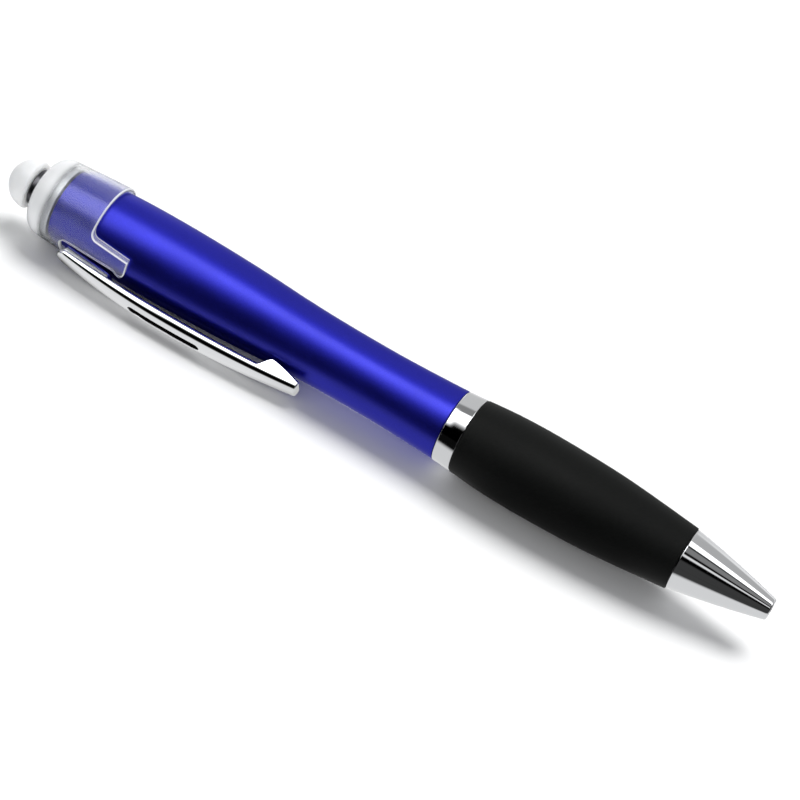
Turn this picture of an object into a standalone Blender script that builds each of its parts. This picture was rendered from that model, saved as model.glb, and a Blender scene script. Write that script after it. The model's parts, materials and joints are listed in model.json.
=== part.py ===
"""Twist-action ballpoint pen with a soft stylus dome, a clear end cap and a sprung pocket clip.

The pen lies on a table with its writing end towards +X. Each piece is drawn in the pen's own frame: Z runs along the
axis from the nose face (station 0) to the dome, X points from the axis through the middle of the clip, and Y lies across
the clip. Lengths are in millimetres and become metres when a mesh is made.
"""

import math

import bmesh
import bpy
from mathutils import Matrix, Vector

MM = 0.001

# Whole pen
LENGTH = 138.0
CLIP_BELOW_LEVEL_DEG = 36.5      # the pen has rolled onto its clip, which then points this far below level
GAP = 0.3                        # clearance between pieces that meet
SLIM_GAP = 0.15                  # clearance inside the refill and the mechanism

# Facets round a turned piece
OUTER_STEPS = 40
INNER_STEPS = 24
SMALL_STEPS = 16

# Nose cone: front face, slightly convex cone, spigot into the grip core
NOSE_LENGTH = 15.3
NOSE_TIP_R = 1.75
NOSE_BASE_R = 5.05
NOSE_BULGE = 0.19
NOSE_EDGE = 0.12
NOSE_MOUTH_R = 1.25
NOSE_MOUTH_LENGTH = 2.6
POINT_BORE_R = 1.45
SPRING_SEAT = 7.0
SPRING_BORE_R = 2.5
SPIGOT_END = 20.5
SPIGOT_R = 3.1

# Grip and band
GRIP_FRONT = NOSE_LENGTH + GAP
GRIP_REAR = 52.6
GRIP_KEYS = [(15.4, 5.22), (26.3, 6.28), (32.4, 6.64), (41.6, 6.81), (47.8, 6.64), (52.6, 6.25)]
GRIP_BORE_R = 4.5
GRIP_EDGE = 0.35
BAND_FRONT = 52.9
BAND_REAR = 56.1
BAND_FRONT_R = 6.18
BAND_REAR_R = 5.95
BAND_BORE_R = 4.9
BAND_EDGE = 0.15

# Grip core, under the grip and the band
CORE_END = 61.0
CORE_GRIP_R = GRIP_BORE_R - GAP
CORE_BAND_R = BAND_BORE_R - GAP
CORE_JOURNAL_R = 4.35
CORE_SPIGOT_BORE_R = SPIGOT_R + GAP
CORE_BORE_R = 2.9
CORE_GUIDE_STEP = 46.5

# Twist mechanism
TWIST_DEG = 180.0
STROKE = 4.5
GUIDE_FRONT = 47.0
GUIDE_REAR = 86.2
GUIDE_R = 2.95
GUIDE_BORE_R = 2.25
GUIDE_FLANGE_R = 4.3
GUIDE_FLANGE = (CORE_END + GAP, CORE_END + GAP + 1.0)
RING_GROOVE = (84.3, 85.6)
RING_GROOVE_R = 2.6
RING_R = 3.9
RING_OPENING = 1.8
CAM_FRONT = GUIDE_FLANGE[1] + GAP
CAM_REAR = 84.0
CAM_R = 4.35
CAM_BORE_R = GUIDE_R + GAP
PIN_STATION = 76.0
PIN_R = 0.7
PIN_HALF_LENGTH = 3.95
SLOT_SLACK = 0.25
FOLLOWER_FRONT = 62.0
FOLLOWER_REAR = 81.0
FOLLOWER_R = GUIDE_BORE_R - GAP

# Refill and return spring
BALL_R = 0.5
BALL_STATION = 2.0
SOCKET_R = 0.6
SOCKET_RIM = 1.62
POINT_R = 1.15
POINT_CONE_END = 4.6
POINT_REAR = 13.0
INK_CHANNEL_R = 0.25
TUBE_R = 1.5
TUBE_BORE_R = 1.0
TUBE_FRONT = POINT_REAR + GAP
TUBE_REAR = 66.2
SPRING_STOP = (24.0, 25.0)
SPRING_STOP_R = 2.2
INK_R = TUBE_BORE_R - SLIM_GAP
INK_SPAN = (17.0, 58.0)
PLUG_SPAN = (58.3, 60.5)
WIRE_R = 0.18
SPRING_R = 1.95
SPRING_TURNS = 9
POINTS_PER_TURN = 9

# Barrel
BARREL_FRONT = BAND_REAR + GAP
BARREL_REAR = 127.1
BARREL_KEYS = [
    (56.4, 5.93), (63.4, 5.66), (70.0, 5.53), (79.2, 5.62), (85.6, 5.86), (92.1, 6.23),
    (98.5, 6.50), (105.0, 6.66), (111.6, 6.70), (118.2, 6.54), (127.1, 5.86),
]
BARREL_EDGE = 0.2
BARREL_BORE_R = CORE_JOURNAL_R + GAP
BARREL_REAR_BORE_R = 5.1
BORE_STEP = (88.0, 98.0)

# End plug, clear cap, stylus
PLUG_FRONT = 121.0
PLUG_SPIGOT_R = BARREL_REAR_BORE_R - GAP
PLUG_FLANGE = (BARREL_REAR + GAP, 128.7)
PLUG_FLANGE_R = 5.95
POST_HOLE_R = 1.65
CAP_REAR = 132.1
CAP_SHOULDER = 129.4
CAP_SHOULDER_R = 6.65
CAP_REAR_FLAT_R = 3.6
CAP_LIP = 119.2
TONGUE_END = 111.9
TONGUE_END_R = 7.68
CAP_WALL = 0.6
CAP_FLOOR = PLUG_FLANGE[1] + GAP
CAP_FLOOR_R = 6.1
TONGUE_HALF_WIDTH = 5.25
TONGUE_INNER_X = 3.0             # nearer the axis than this the lip runs straight round
LIP_FILLET = (0.9, 1.3)
FOOT_SLOT = (113.2, 124.2)
FOOT_SLOT_HALF_WIDTH = 2.65
FOOT_SLOT_CORNER = 1.0
NIB_Y = 3.6                      # the tongue's end curls into two nibs that nearly close the slot's mouth
NIB_R = 1.6
NIB_SWEEP_DEG = 60.0
POST_R = POST_HOLE_R - GAP
POST_FRONT = 121.7
COLLAR = (CAP_REAR + GAP, 133.2)
COLLAR_R = 3.3
NECK_R = 1.9
HEAD = (134.6, 135.7)
HEAD_R = 2.6
DOME_R = 4.1
DOME_CENTRE = LENGTH - DOME_R
DOME_RIM = 132.9
DOME_SKIRT_R = 3.6
DOME_LIP = (133.8, 134.3)
DOME_LIP_R = 2.2
DOME_HOLLOW_R = 2.9
DOME_HOLLOW_TOP = 136.9

# Clip: a bowed bar with a flat underside and a rounded crown
CLIP_ROOT = 123.9
CLIP_TIP = 79.4
CLIP_MIDDLE = 103.0
CROWN_RHO = 10.5                 # distance of the crown from the pen's axis at the middle of the clip
CROWN_DROP_ROOT = 2.0
CROWN_DROP_TIP = 1.7
CROWN_ARC_R = 3.2
UNDER_RHO = 8.15
UNDER_DROP_ROOT = 0.75
UNDER_DROP_TIP = 1.1
CLIP_HALF_WIDTH = 2.45
NARROWER_ROOT = 0.55
NARROWER_TIP = 0.75
ROOT_ROUNDING = 1.9
CLIP_EDGE = 0.35
CATCH_START = 87.0
CATCH_PEAK = 85.0
CATCH_CLEARANCE = 0.2
TIP_WALL = 0.5
FOOT = (114.2, 123.4)
FOOT_HALF_WIDTH = 1.8
FOOT_CORNER = 0.7
FOOT_UNDER = 7.1
CROWN_SLOT = (96.1, 109.3)
CROWN_SLOT_HALF_WIDTH = 0.65
CROWN_SLOT_FLOOR = 9.3
CLIP_PIVOT_STATION = 122.0
CLIP_PIVOT_RHO = 7.6


# Scene, collections and materials

for leftover in list(bpy.data.objects):
    bpy.data.objects.remove(leftover, do_unlink=True)

parts = bpy.data.collections.new("stylus_ballpoint_pen")
cutters = bpy.data.collections.new("cutters")
bpy.context.scene.collection.children.link(parts)
bpy.context.scene.collection.children.link(cutters)


def finish(name, colour, roughness, metallic=0.0, alpha=1.0):
    """A Principled material with the piece's colour, roughness and metallic value."""
    made = bpy.data.materials.new(name)
    made.use_nodes = True
    shader = made.node_tree.nodes["Principled BSDF"]
    shader.inputs["Base Color"].default_value = (*colour, 1.0)
    shader.inputs["Roughness"].default_value = roughness
    shader.inputs["Metallic"].default_value = metallic
    shader.inputs["Alpha"].default_value = alpha
    made.diffuse_color = (*colour, alpha)
    return made


CHROME = ((0.82, 0.83, 0.85), 0.08, 1.0)
STEEL = ((0.55, 0.56, 0.58), 0.30, 1.0)
DARK_METAL = ((0.10, 0.10, 0.11), 0.30, 1.0)
BRASS = ((0.72, 0.56, 0.28), 0.25, 1.0)
BLUE_LACQUER = ((0.020, 0.020, 0.42), 0.32, 0.4)
BLACK_RUBBER = ((0.012, 0.013, 0.013), 0.75)
CLEAR_PLASTIC = ((0.92, 0.94, 0.94), 0.10, 0.0, 0.35)
SILICONE = ((0.86, 0.87, 0.86), 0.45)
WHITE_ACETAL = ((0.80, 0.80, 0.78), 0.45)
BLACK_ACETAL = ((0.03, 0.03, 0.03), 0.45)
TUBE_PLASTIC = ((0.78, 0.80, 0.82), 0.30)
INK = ((0.01, 0.01, 0.10), 0.20)
GREASE = ((0.75, 0.70, 0.50), 0.35)


# Frame: the pen's axis and the joints' axes

def pen_frame():
    """The empty on the pen's axis, turned so that its Z runs to the rear and its X points through the clip."""
    drop = math.radians(CLIP_BELOW_LEVEL_DEG)
    through_clip = Vector((0.0, -math.cos(drop), -math.sin(drop)))
    to_rear = Vector((-1.0, 0.0, 0.0))
    across = to_rear.cross(through_clip)
    turned = Matrix((through_clip, across, to_rear)).transposed().to_4x4()
    frame = bpy.data.objects.new("pen_axis", None)
    parts.objects.link(frame)
    frame.matrix_world = Matrix.Translation((LENGTH / 2 * MM, 0.0, 0.0)) @ turned
    return frame


def axis_empty(name, parent, station=0.0, rho=0.0):
    """An empty on a joint's axis, at a station and a distance from the pen's axis."""
    made = bpy.data.objects.new(name, None)
    parts.objects.link(made)
    made.parent = parent
    made.location = (rho * MM, 0.0, station * MM)
    return made


pen_axis = pen_frame()
front_section = axis_empty("front_section", pen_axis)
rear_section = axis_empty("twist_axis", pen_axis)
writing_unit = axis_empty("slide_axis", pen_axis)
clip_pivot = axis_empty("clip_pivot", rear_section, CLIP_PIVOT_STATION, CLIP_PIVOT_RHO)


# Tools

def place(name, data, carrier, look=None):
    """Link a piece under the empty that carries it, or a cutter if it has no look."""
    made = bpy.data.objects.new(name, data)
    made.parent = carrier
    if look is None:
        cutters.objects.link(made)
        made.hide_render = True
        made.display_type = "WIRE"
    else:
        parts.objects.link(made)
        data.materials.append(finish(name, *look))
    return made


def turned(name, outline, carrier, look, steps):
    """Turn an outline of (station, radius) round the pen's axis. It runs forward along the outside, then back inside."""
    touches_axis = outline[0][1] == 0.0
    points = [(radius * MM, 0.0, station * MM) for station, radius in outline]
    edges = [(i, i + 1) for i in range(len(points) - 1)]
    if not touches_axis:
        edges.append((len(points) - 1, 0))
    profile = bpy.data.meshes.new(name)
    profile.from_pydata(points, edges, [])
    made = place(name, profile, carrier, look)
    spin = made.modifiers.new("turn", "SCREW")
    spin.axis = "Z"
    spin.angle = math.tau
    spin.steps = steps
    spin.render_steps = steps
    spin.use_merge_vertices = True
    spin.merge_threshold = 0.000001
    spin.use_smooth_shade = True
    return made


def smooth_radius(keys, station):
    """The radius at a station on the smooth curve through (station, radius) keys, with Catmull-Rom slopes."""
    last = len(keys) - 1
    i = 0
    while i < last - 1 and station > keys[i + 1][0]:
        i += 1
    (s0, r0), (s1, r1) = keys[i], keys[i + 1]
    before, after = keys[max(i - 1, 0)], keys[min(i + 2, last)]
    slope0 = (r1 - before[1]) / (s1 - before[0])
    slope1 = (after[1] - r0) / (after[0] - s0)
    span = s1 - s0
    t = (station - s0) / span
    return (
        r0 * (1 + 2 * t) * (1 - t) ** 2
        + r1 * t ** 2 * (3 - 2 * t)
        + span * t * (1 - t) * (slope0 * (1 - t) - slope1 * t)
    )


def steps_between(first, last, count):
    """Evenly spaced values from first to last, both included."""
    return [first + (last - first) * i / (count - 1) for i in range(count)]


def arc(centre, radii, start_deg, end_deg, count):
    """Points on an ellipse's arc as (u, v), with the angle measured from u towards v."""
    angles = [math.radians(a) for a in steps_between(start_deg, end_deg, count)]
    return [(centre[0] + radii[0] * math.cos(a), centre[1] + radii[1] * math.sin(a)) for a in angles]


def prism(name, outline, along, low, high, carrier, look=None):
    """Extrude an outline along X, given as (Y, station), or along Y, given as (X, station)."""
    def corner(u, v):
        return Vector((low, u, v) if along == "X" else (u, low, v)) * MM

    shape = bmesh.new()
    base = shape.faces.new([shape.verts.new(corner(u, v)) for u, v in outline])
    grown = bmesh.ops.extrude_face_region(shape, geom=[base])
    rise = Vector((high - low, 0.0, 0.0) if along == "X" else (0.0, high - low, 0.0)) * MM
    bmesh.ops.translate(shape, vec=rise, verts=[v for v in grown["geom"] if isinstance(v, bmesh.types.BMVert)])
    bmesh.ops.recalc_face_normals(shape, faces=shape.faces)
    mesh = bpy.data.meshes.new(name)
    shape.to_mesh(mesh)
    shape.free()
    return place(name, mesh, carrier, look)


def rod(name, station, radius, half_length, carrier, look=None):
    """A round rod across the pen, along Y."""
    shape = bmesh.new()
    lie_down = Matrix.Translation((0.0, 0.0, station * MM)) @ Matrix.Rotation(math.pi / 2, 4, "X")
    bmesh.ops.create_cone(
        shape, cap_ends=True, segments=SMALL_STEPS, radius1=radius * MM, radius2=radius * MM,
        depth=2 * half_length * MM, matrix=lie_down,
    )
    mesh = bpy.data.meshes.new(name)
    shape.to_mesh(mesh)
    shape.free()
    return place(name, mesh, carrier, look)


def combine(piece, tool, operation="DIFFERENCE"):
    """Cut a piece with a tool, or join the tool to it."""
    step = piece.modifiers.new(tool.name, "BOOLEAN")
    step.operation = operation
    step.solver = "EXACT"
    step.object = tool


def rounded_slot(half_width, low, high, corner, count=5):
    """A slot outline with rounded corners, as (Y, station)."""
    outline = []
    for side, end, start_deg in ((1, high, 0), (-1, high, 90), (-1, low, 180), (1, low, 270)):
        inward = -corner if end == high else corner
        outline += arc((side * (half_width - corner), end + inward), (corner, corner), start_deg, start_deg + 90, count)
    return outline


# Front section: nose, grip, band, core

def make_nose_cone():
    """A slightly convex cone with a flat front face, a spring seat inside and a spigot behind."""
    cone = []
    for station in steps_between(NOSE_LENGTH, NOSE_EDGE, 7):
        share = station / NOSE_LENGTH
        straight = NOSE_TIP_R + (NOSE_BASE_R - NOSE_TIP_R) * share
        cone.append((station, straight + 4 * NOSE_BULGE * share * (1 - share)))
    outline = [
        (SPIGOT_END, SPIGOT_R - GAP), (SPIGOT_END - GAP, SPIGOT_R), (NOSE_LENGTH, SPIGOT_R),
        *cone,
        (0.0, NOSE_TIP_R - NOSE_EDGE), (0.0, NOSE_MOUTH_R),
        (NOSE_MOUTH_LENGTH, NOSE_MOUTH_R), (NOSE_MOUTH_LENGTH + GAP, POINT_BORE_R),
        (SPRING_SEAT, POINT_BORE_R), (SPRING_SEAT, SPRING_BORE_R), (SPIGOT_END, SPRING_BORE_R),
    ]
    turned("nose_cone", outline, front_section, CHROME, OUTER_STEPS)


def make_rubber_grip():
    """A swelling rubber sleeve with rounded ends."""
    inner_stations = steps_between(GRIP_REAR - GRIP_EDGE, GRIP_FRONT + GRIP_EDGE, 13)
    rear_r = smooth_radius(GRIP_KEYS, GRIP_REAR)
    front_r = smooth_radius(GRIP_KEYS, GRIP_FRONT)
    outline = [
        (GRIP_REAR, rear_r - GRIP_EDGE), (GRIP_REAR - GRIP_EDGE * 0.3, rear_r - GRIP_EDGE * 0.3),
        *[(station, smooth_radius(GRIP_KEYS, station)) for station in inner_stations],
        (GRIP_FRONT, front_r - GRIP_EDGE * 0.3),
        (GRIP_FRONT, GRIP_BORE_R), (GRIP_REAR, GRIP_BORE_R),
    ]
    turned("rubber_grip", outline, front_section, BLACK_RUBBER, OUTER_STEPS)


def make_center_band():
    """A chrome ring with broken edges, a little wider towards the grip."""
    outline = [
        (BAND_REAR, BAND_REAR_R - BAND_EDGE), (BAND_REAR - BAND_EDGE, BAND_REAR_R),
        (BAND_FRONT + BAND_EDGE, BAND_FRONT_R), (BAND_FRONT, BAND_FRONT_R - BAND_EDGE),
        (BAND_FRONT, BAND_BORE_R), (BAND_REAR, BAND_BORE_R),
    ]
    turned("center_band", outline, front_section, CHROME, OUTER_STEPS)


def make_grip_core():
    """The hard tube under the grip: nose socket in front, band seat and the barrel's journal behind."""
    outline = [
        (CORE_END, CORE_JOURNAL_R - GAP), (CORE_END - GAP, CORE_JOURNAL_R),
        (BARREL_FRONT, CORE_JOURNAL_R), (BARREL_FRONT, CORE_BAND_R),
        (BAND_FRONT, CORE_BAND_R), (BAND_FRONT, CORE_GRIP_R),
        (GRIP_FRONT, CORE_GRIP_R), (GRIP_FRONT, CORE_SPIGOT_BORE_R),
        (SPIGOT_END + GAP, CORE_SPIGOT_BORE_R), (SPIGOT_END + GAP, CORE_BORE_R),
        (CORE_GUIDE_STEP, CORE_BORE_R), (CORE_GUIDE_STEP, GUIDE_R + GAP), (CORE_END, GUIDE_R + GAP),
    ]
    turned("grip_core", outline, front_section, BLACK_ACETAL, INNER_STEPS)


# Twist mechanism: the cross pin runs in straight slots that stand still and in helical slots that turn

def make_guide_tube():
    """The fixed tube, with a flange against the core, two straight slots and a groove for the ring."""
    outline = [
        (GUIDE_REAR, GUIDE_R - GAP), (GUIDE_REAR - GAP, GUIDE_R), (RING_GROOVE[1], GUIDE_R),
        (RING_GROOVE[1], RING_GROOVE_R), (RING_GROOVE[0], RING_GROOVE_R), (RING_GROOVE[0], GUIDE_R),
        (GUIDE_FLANGE[1], GUIDE_R), (GUIDE_FLANGE[1], GUIDE_FLANGE_R),
        (GUIDE_FLANGE[0], GUIDE_FLANGE_R), (GUIDE_FLANGE[0], GUIDE_R),
        (GUIDE_FRONT, GUIDE_R), (GUIDE_FRONT, GUIDE_BORE_R), (GUIDE_REAR, GUIDE_BORE_R),
    ]
    guide = turned("guide_tube", outline, front_section, WHITE_ACETAL, INNER_STEPS)
    slot_half = PIN_R + SLOT_SLACK
    low = PIN_STATION - STROKE - slot_half
    high = PIN_STATION + slot_half
    slot = [(-slot_half, low), (slot_half, low), (slot_half, high), (-slot_half, high)]
    combine(guide, prism("straight_slots", slot, "Y", -CAM_R, CAM_R, front_section))


def helical_slot(name, start_deg):
    """A cutter swept along the pin's path in the turning sleeve: a block that winds forward as it turns."""
    half_height = PIN_R + SLOT_SLACK
    lead = STROKE / math.radians(TWIST_DEG)
    margin = math.asin(half_height / CAM_BORE_R)
    first = math.radians(start_deg) - margin
    sweep = math.radians(TWIST_DEG) + 2 * margin
    begin = PIN_STATION + lead * margin
    corners = [
        (CAM_BORE_R - GAP, begin - half_height), (CAM_R + GAP, begin - half_height),
        (CAM_R + GAP, begin + half_height), (CAM_BORE_R - GAP, begin + half_height),
    ]
    shape = bmesh.new()
    face = shape.faces.new([
        shape.verts.new(Vector((r * math.cos(first), r * math.sin(first), station)) * MM) for r, station in corners
    ])
    steps = INNER_STEPS
    bmesh.ops.spin(
        shape, geom=[face, *face.edges, *face.verts], cent=(0, 0, 0), axis=(0, 0, 1), angle=sweep, steps=steps,
        dvec=(0, 0, -lead * sweep / steps * MM), use_duplicate=False,
    )
    bmesh.ops.holes_fill(shape, edges=[edge for edge in shape.edges if edge.is_boundary])
    bmesh.ops.recalc_face_normals(shape, faces=shape.faces)
    mesh = bpy.data.meshes.new(name)
    shape.to_mesh(mesh)
    shape.free()
    return place(name, mesh, rear_section)


def make_cam_sleeve():
    """The turning tube, fast in the barrel, whose two helical slots drive the pin forward."""
    outline = [
        (CAM_REAR, CAM_R - SLIM_GAP), (CAM_REAR - SLIM_GAP, CAM_R), (CAM_FRONT + SLIM_GAP, CAM_R),
        (CAM_FRONT, CAM_R - SLIM_GAP), (CAM_FRONT, CAM_BORE_R), (CAM_REAR, CAM_BORE_R),
    ]
    cam = turned("cam_sleeve", outline, rear_section, WHITE_ACETAL, INNER_STEPS)
    for side, start_deg in (("a", 90.0), ("b", 270.0)):
        combine(cam, helical_slot("helical_slot_" + side, start_deg))


def make_retaining_ring():
    """An open spring ring in the guide tube's groove, behind the cam sleeve."""
    front = RING_GROOVE[0] + SLIM_GAP
    rear = RING_GROOVE[1] - SLIM_GAP
    bore = RING_GROOVE_R + SLIM_GAP
    outline = [(rear, RING_R), (front, RING_R), (front, bore), (rear, bore)]
    ring = turned("retaining_ring", outline, front_section, STEEL, INNER_STEPS)
    half = RING_OPENING / 2
    opening = [(-half, front - GAP), (half, front - GAP), (half, rear + GAP), (-half, rear + GAP)]
    combine(ring, prism("ring_opening", opening, "X", 0.0, RING_R + GAP, front_section))


def make_cam_follower():
    """The plunger, with a socket for the refill in front and a cross hole for the pin."""
    socket_r = TUBE_R + SLIM_GAP
    socket_floor = TUBE_REAR + GAP
    outline = [
        (FOLLOWER_REAR, 0.0), (FOLLOWER_REAR, FOLLOWER_R - GAP), (FOLLOWER_REAR - GAP, FOLLOWER_R),
        (FOLLOWER_FRONT, FOLLOWER_R), (FOLLOWER_FRONT, socket_r), (socket_floor, socket_r), (socket_floor, 0.0),
    ]
    follower = turned("cam_follower", outline, writing_unit, BLACK_ACETAL, INNER_STEPS)
    combine(follower, rod("cross_hole", PIN_STATION, PIN_R + SLIM_GAP, CAM_R, writing_unit))
    rod("follower_pin", PIN_STATION, PIN_R, PIN_HALF_LENGTH, writing_unit, STEEL)


# Refill and return spring

def make_refill():
    """Tube with the spring's stop, metal point with a crimped socket, rolling ball, ink and grease plug."""
    tube = [
        (TUBE_REAR, TUBE_R), (SPRING_STOP[1] + SLIM_GAP, TUBE_R), (SPRING_STOP[1], SPRING_STOP_R),
        (SPRING_STOP[0], SPRING_STOP_R), (SPRING_STOP[0], TUBE_R), (TUBE_FRONT, TUBE_R),
        (TUBE_FRONT, TUBE_BORE_R), (TUBE_REAR, TUBE_BORE_R),
    ]
    turned("refill_tube", tube, writing_unit, TUBE_PLASTIC, SMALL_STEPS)

    rim_deg = math.degrees(math.acos((BALL_STATION - SOCKET_RIM) / SOCKET_R))
    channel_deg = 180.0 - math.degrees(math.asin(INK_CHANNEL_R / SOCKET_R))
    socket = arc((BALL_STATION, 0.0), (-SOCKET_R, SOCKET_R), rim_deg, channel_deg, 6)
    point = [
        (INK_SPAN[0] - GAP, INK_R), (POINT_REAR, INK_R), (POINT_REAR, POINT_R), (POINT_CONE_END, POINT_R),
        (SOCKET_RIM + SLIM_GAP, SOCKET_R + SLIM_GAP), (SOCKET_RIM, SOCKET_R),
        *socket,
        (INK_SPAN[0] - GAP, INK_CHANNEL_R),
    ]
    turned("refill_tip", point, writing_unit, BRASS, SMALL_STEPS)

    for name, span, look in (("ink_column", INK_SPAN, INK), ("refill_plug", PLUG_SPAN, GREASE)):
        front, rear = span
        turned(name, [(rear, 0.0), (rear, INK_R), (front, INK_R), (front, 0.0)], writing_unit, look, SMALL_STEPS)

    shape = bmesh.new()
    bmesh.ops.create_uvsphere(shape, u_segments=SMALL_STEPS, v_segments=SMALL_STEPS // 2, radius=BALL_R * MM)
    mesh = bpy.data.meshes.new("writing_ball")
    shape.to_mesh(mesh)
    shape.free()
    mesh.shade_smooth()
    ball = place("writing_ball", mesh, writing_unit, STEEL)
    ball.location = (0.0, 0.0, BALL_STATION * MM)


def make_return_spring():
    """A helix of round wire between the seat in the nose and the stop on the refill."""
    first = SPRING_SEAT + GAP + WIRE_R
    last = SPRING_STOP[0] - GAP - WIRE_R
    count = SPRING_TURNS * POINTS_PER_TURN + 1
    points = []
    for i in range(count):
        turn = math.tau * i / POINTS_PER_TURN
        station = first + (last - first) * i / (count - 1)
        points.append(Vector((SPRING_R * math.cos(turn), SPRING_R * math.sin(turn), station)))

    half_turn = POINTS_PER_TURN // 2
    apart = [(a - b).length for i, a in enumerate(points) for b in points[i + half_turn:]]
    print(f"return_spring: least gap between coils {min(apart) - 2 * WIRE_R:.2f} mm")

    wire = bpy.data.curves.new("return_spring", "CURVE")
    wire.dimensions = "3D"
    wire.bevel_depth = WIRE_R * MM
    wire.bevel_resolution = 1
    wire.use_fill_caps = True
    line = wire.splines.new("POLY")
    line.points.add(count - 1)
    for point, place_mm in zip(line.points, points):
        point.co = (*(place_mm * MM), 1.0)
    place("return_spring", wire, front_section, STEEL)


# Rear section: barrel, plug, cap, stylus

def make_upper_barrel():
    """The waisted barrel, with a bearing bore in front and a wider bore behind."""
    stations = steps_between(BARREL_REAR - BARREL_EDGE, BARREL_FRONT + BARREL_EDGE, 19)
    outline = [
        (BARREL_REAR, smooth_radius(BARREL_KEYS, BARREL_REAR) - BARREL_EDGE),
        *[(station, smooth_radius(BARREL_KEYS, station)) for station in stations],
        (BARREL_FRONT, smooth_radius(BARREL_KEYS, BARREL_FRONT) - BARREL_EDGE),
        (BARREL_FRONT, BARREL_BORE_R), (BORE_STEP[0], BARREL_BORE_R),
        (BORE_STEP[1], BARREL_REAR_BORE_R), (BARREL_REAR, BARREL_REAR_BORE_R),
    ]
    turned("upper_barrel", outline, rear_section, BLUE_LACQUER, OUTER_STEPS)


def make_end_plug():
    """A flanged chrome plug in the barrel's rear bore; the flange shows as a silver ring through the cap."""
    front, rear = PLUG_FLANGE
    outline = [
        (rear, PLUG_FLANGE_R - GAP), (rear - GAP, PLUG_FLANGE_R),
        (front, PLUG_FLANGE_R), (front, PLUG_SPIGOT_R),
        (PLUG_FRONT + GAP, PLUG_SPIGOT_R), (PLUG_FRONT, PLUG_SPIGOT_R - GAP),
        (PLUG_FRONT, POST_HOLE_R), (rear, POST_HOLE_R),
    ]
    turned("end_plug", outline, rear_section, CHROME, INNER_STEPS)


def make_clear_cap():
    """A flaring clear cup with a rounded end, cut back to a lip that leaves a tongue under the clip."""
    past_end = TONGUE_END - GAP
    flare = (TONGUE_END_R - CAP_SHOULDER_R) / (CAP_SHOULDER - TONGUE_END)
    end_r = TONGUE_END_R + flare * GAP
    shoulder = arc(
        (CAP_SHOULDER, CAP_REAR_FLAT_R), (CAP_REAR - CAP_SHOULDER, CAP_SHOULDER_R - CAP_REAR_FLAT_R), 0, 90, 7,
    )
    outline = [
        (CAP_REAR, POST_HOLE_R), *shoulder, (past_end, end_r), (past_end, end_r - CAP_WALL),
        (CAP_FLOOR, CAP_FLOOR_R), (CAP_FLOOR, POST_HOLE_R),
    ]
    cap = turned("clear_cap", outline, rear_section, CLEAR_PLASTIC, OUTER_STEPS)

    clear_of_cap = 2.0
    beyond = TONGUE_END_R + clear_of_cap
    below = TONGUE_END - clear_of_cap
    lip_cut = [(-beyond, below), (beyond, below), (beyond, CAP_LIP), (-beyond, CAP_LIP)]
    combine(cap, prism("lip_cut", lip_cut, "X", -beyond, TONGUE_INNER_X, rear_section))

    nib = arc((NIB_Y, TONGUE_END + NIB_R), (NIB_R, NIB_R), -90 - NIB_SWEEP_DEG, -90, 5)
    fillet_centre = (TONGUE_HALF_WIDTH + LIP_FILLET[0], CAP_LIP - LIP_FILLET[1])
    one_side = [
        (nib[0][0], FOOT_SLOT[0] + FOOT_SLOT_CORNER), *nib, (TONGUE_HALF_WIDTH, TONGUE_END),
        *arc(fillet_centre, LIP_FILLET, 180, 90, 6), (beyond, CAP_LIP), (beyond, below),
    ]
    other_side = [(-y, station) for y, station in reversed(one_side)]
    combine(cap, prism("tongue_sides", one_side + other_side, "X", TONGUE_INNER_X - GAP, beyond, rear_section))
    foot_slot = rounded_slot(FOOT_SLOT_HALF_WIDTH, *FOOT_SLOT, FOOT_SLOT_CORNER)
    combine(cap, prism("foot_slot", foot_slot, "X", TONGUE_INNER_X, beyond, rear_section))


def make_stylus():
    """A post through the cap into the plug, and a hollow dome snapped over the post's head."""
    post = [
        (HEAD[1], 0.0), (HEAD[1], HEAD_R - 2 * GAP), (HEAD[1] - GAP, HEAD_R - SLIM_GAP), (HEAD[0], HEAD_R),
        (HEAD[0], NECK_R), (COLLAR[1], NECK_R), (COLLAR[1], COLLAR_R), (COLLAR[0], COLLAR_R),
        (COLLAR[0], POST_R), (POST_FRONT + GAP, POST_R), (POST_FRONT, POST_R - GAP), (POST_FRONT, 0.0),
    ]
    turned("stylus_post", post, rear_section, DARK_METAL, INNER_STEPS)

    outside = arc((DOME_CENTRE, 0.0), (DOME_R, DOME_R), 0, 90, 10)
    hollow_rise = DOME_HOLLOW_TOP - DOME_LIP[1] - 1.0
    inside = arc((DOME_LIP[1] + 1.0, 0.0), (hollow_rise, DOME_HOLLOW_R), 90, 0, 6)
    dome = [
        (outside[0][0], 0.0), *outside[1:],
        (DOME_RIM + SLIM_GAP, DOME_R - SLIM_GAP / 2), (DOME_RIM, DOME_R - 2 * SLIM_GAP), (DOME_RIM, DOME_SKIRT_R),
        (DOME_LIP[0], DOME_SKIRT_R), (DOME_LIP[0], DOME_LIP_R), (DOME_LIP[1], DOME_LIP_R),
        (DOME_LIP[1], DOME_HOLLOW_R), *inside[:-1], (DOME_HOLLOW_TOP, 0.0),
    ]
    turned("stylus_dome", dome, rear_section, SILICONE, INNER_STEPS)


# Clip

def towards_ends(station, at_root, at_tip):
    """A drop that grows with the square of the distance from the clip's middle, to its value at each end."""
    if station > CLIP_MIDDLE:
        return at_root * ((station - CLIP_MIDDLE) / (CLIP_ROOT - CLIP_MIDDLE)) ** 2
    return at_tip * ((CLIP_MIDDLE - station) / (CLIP_MIDDLE - CLIP_TIP)) ** 2


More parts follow.
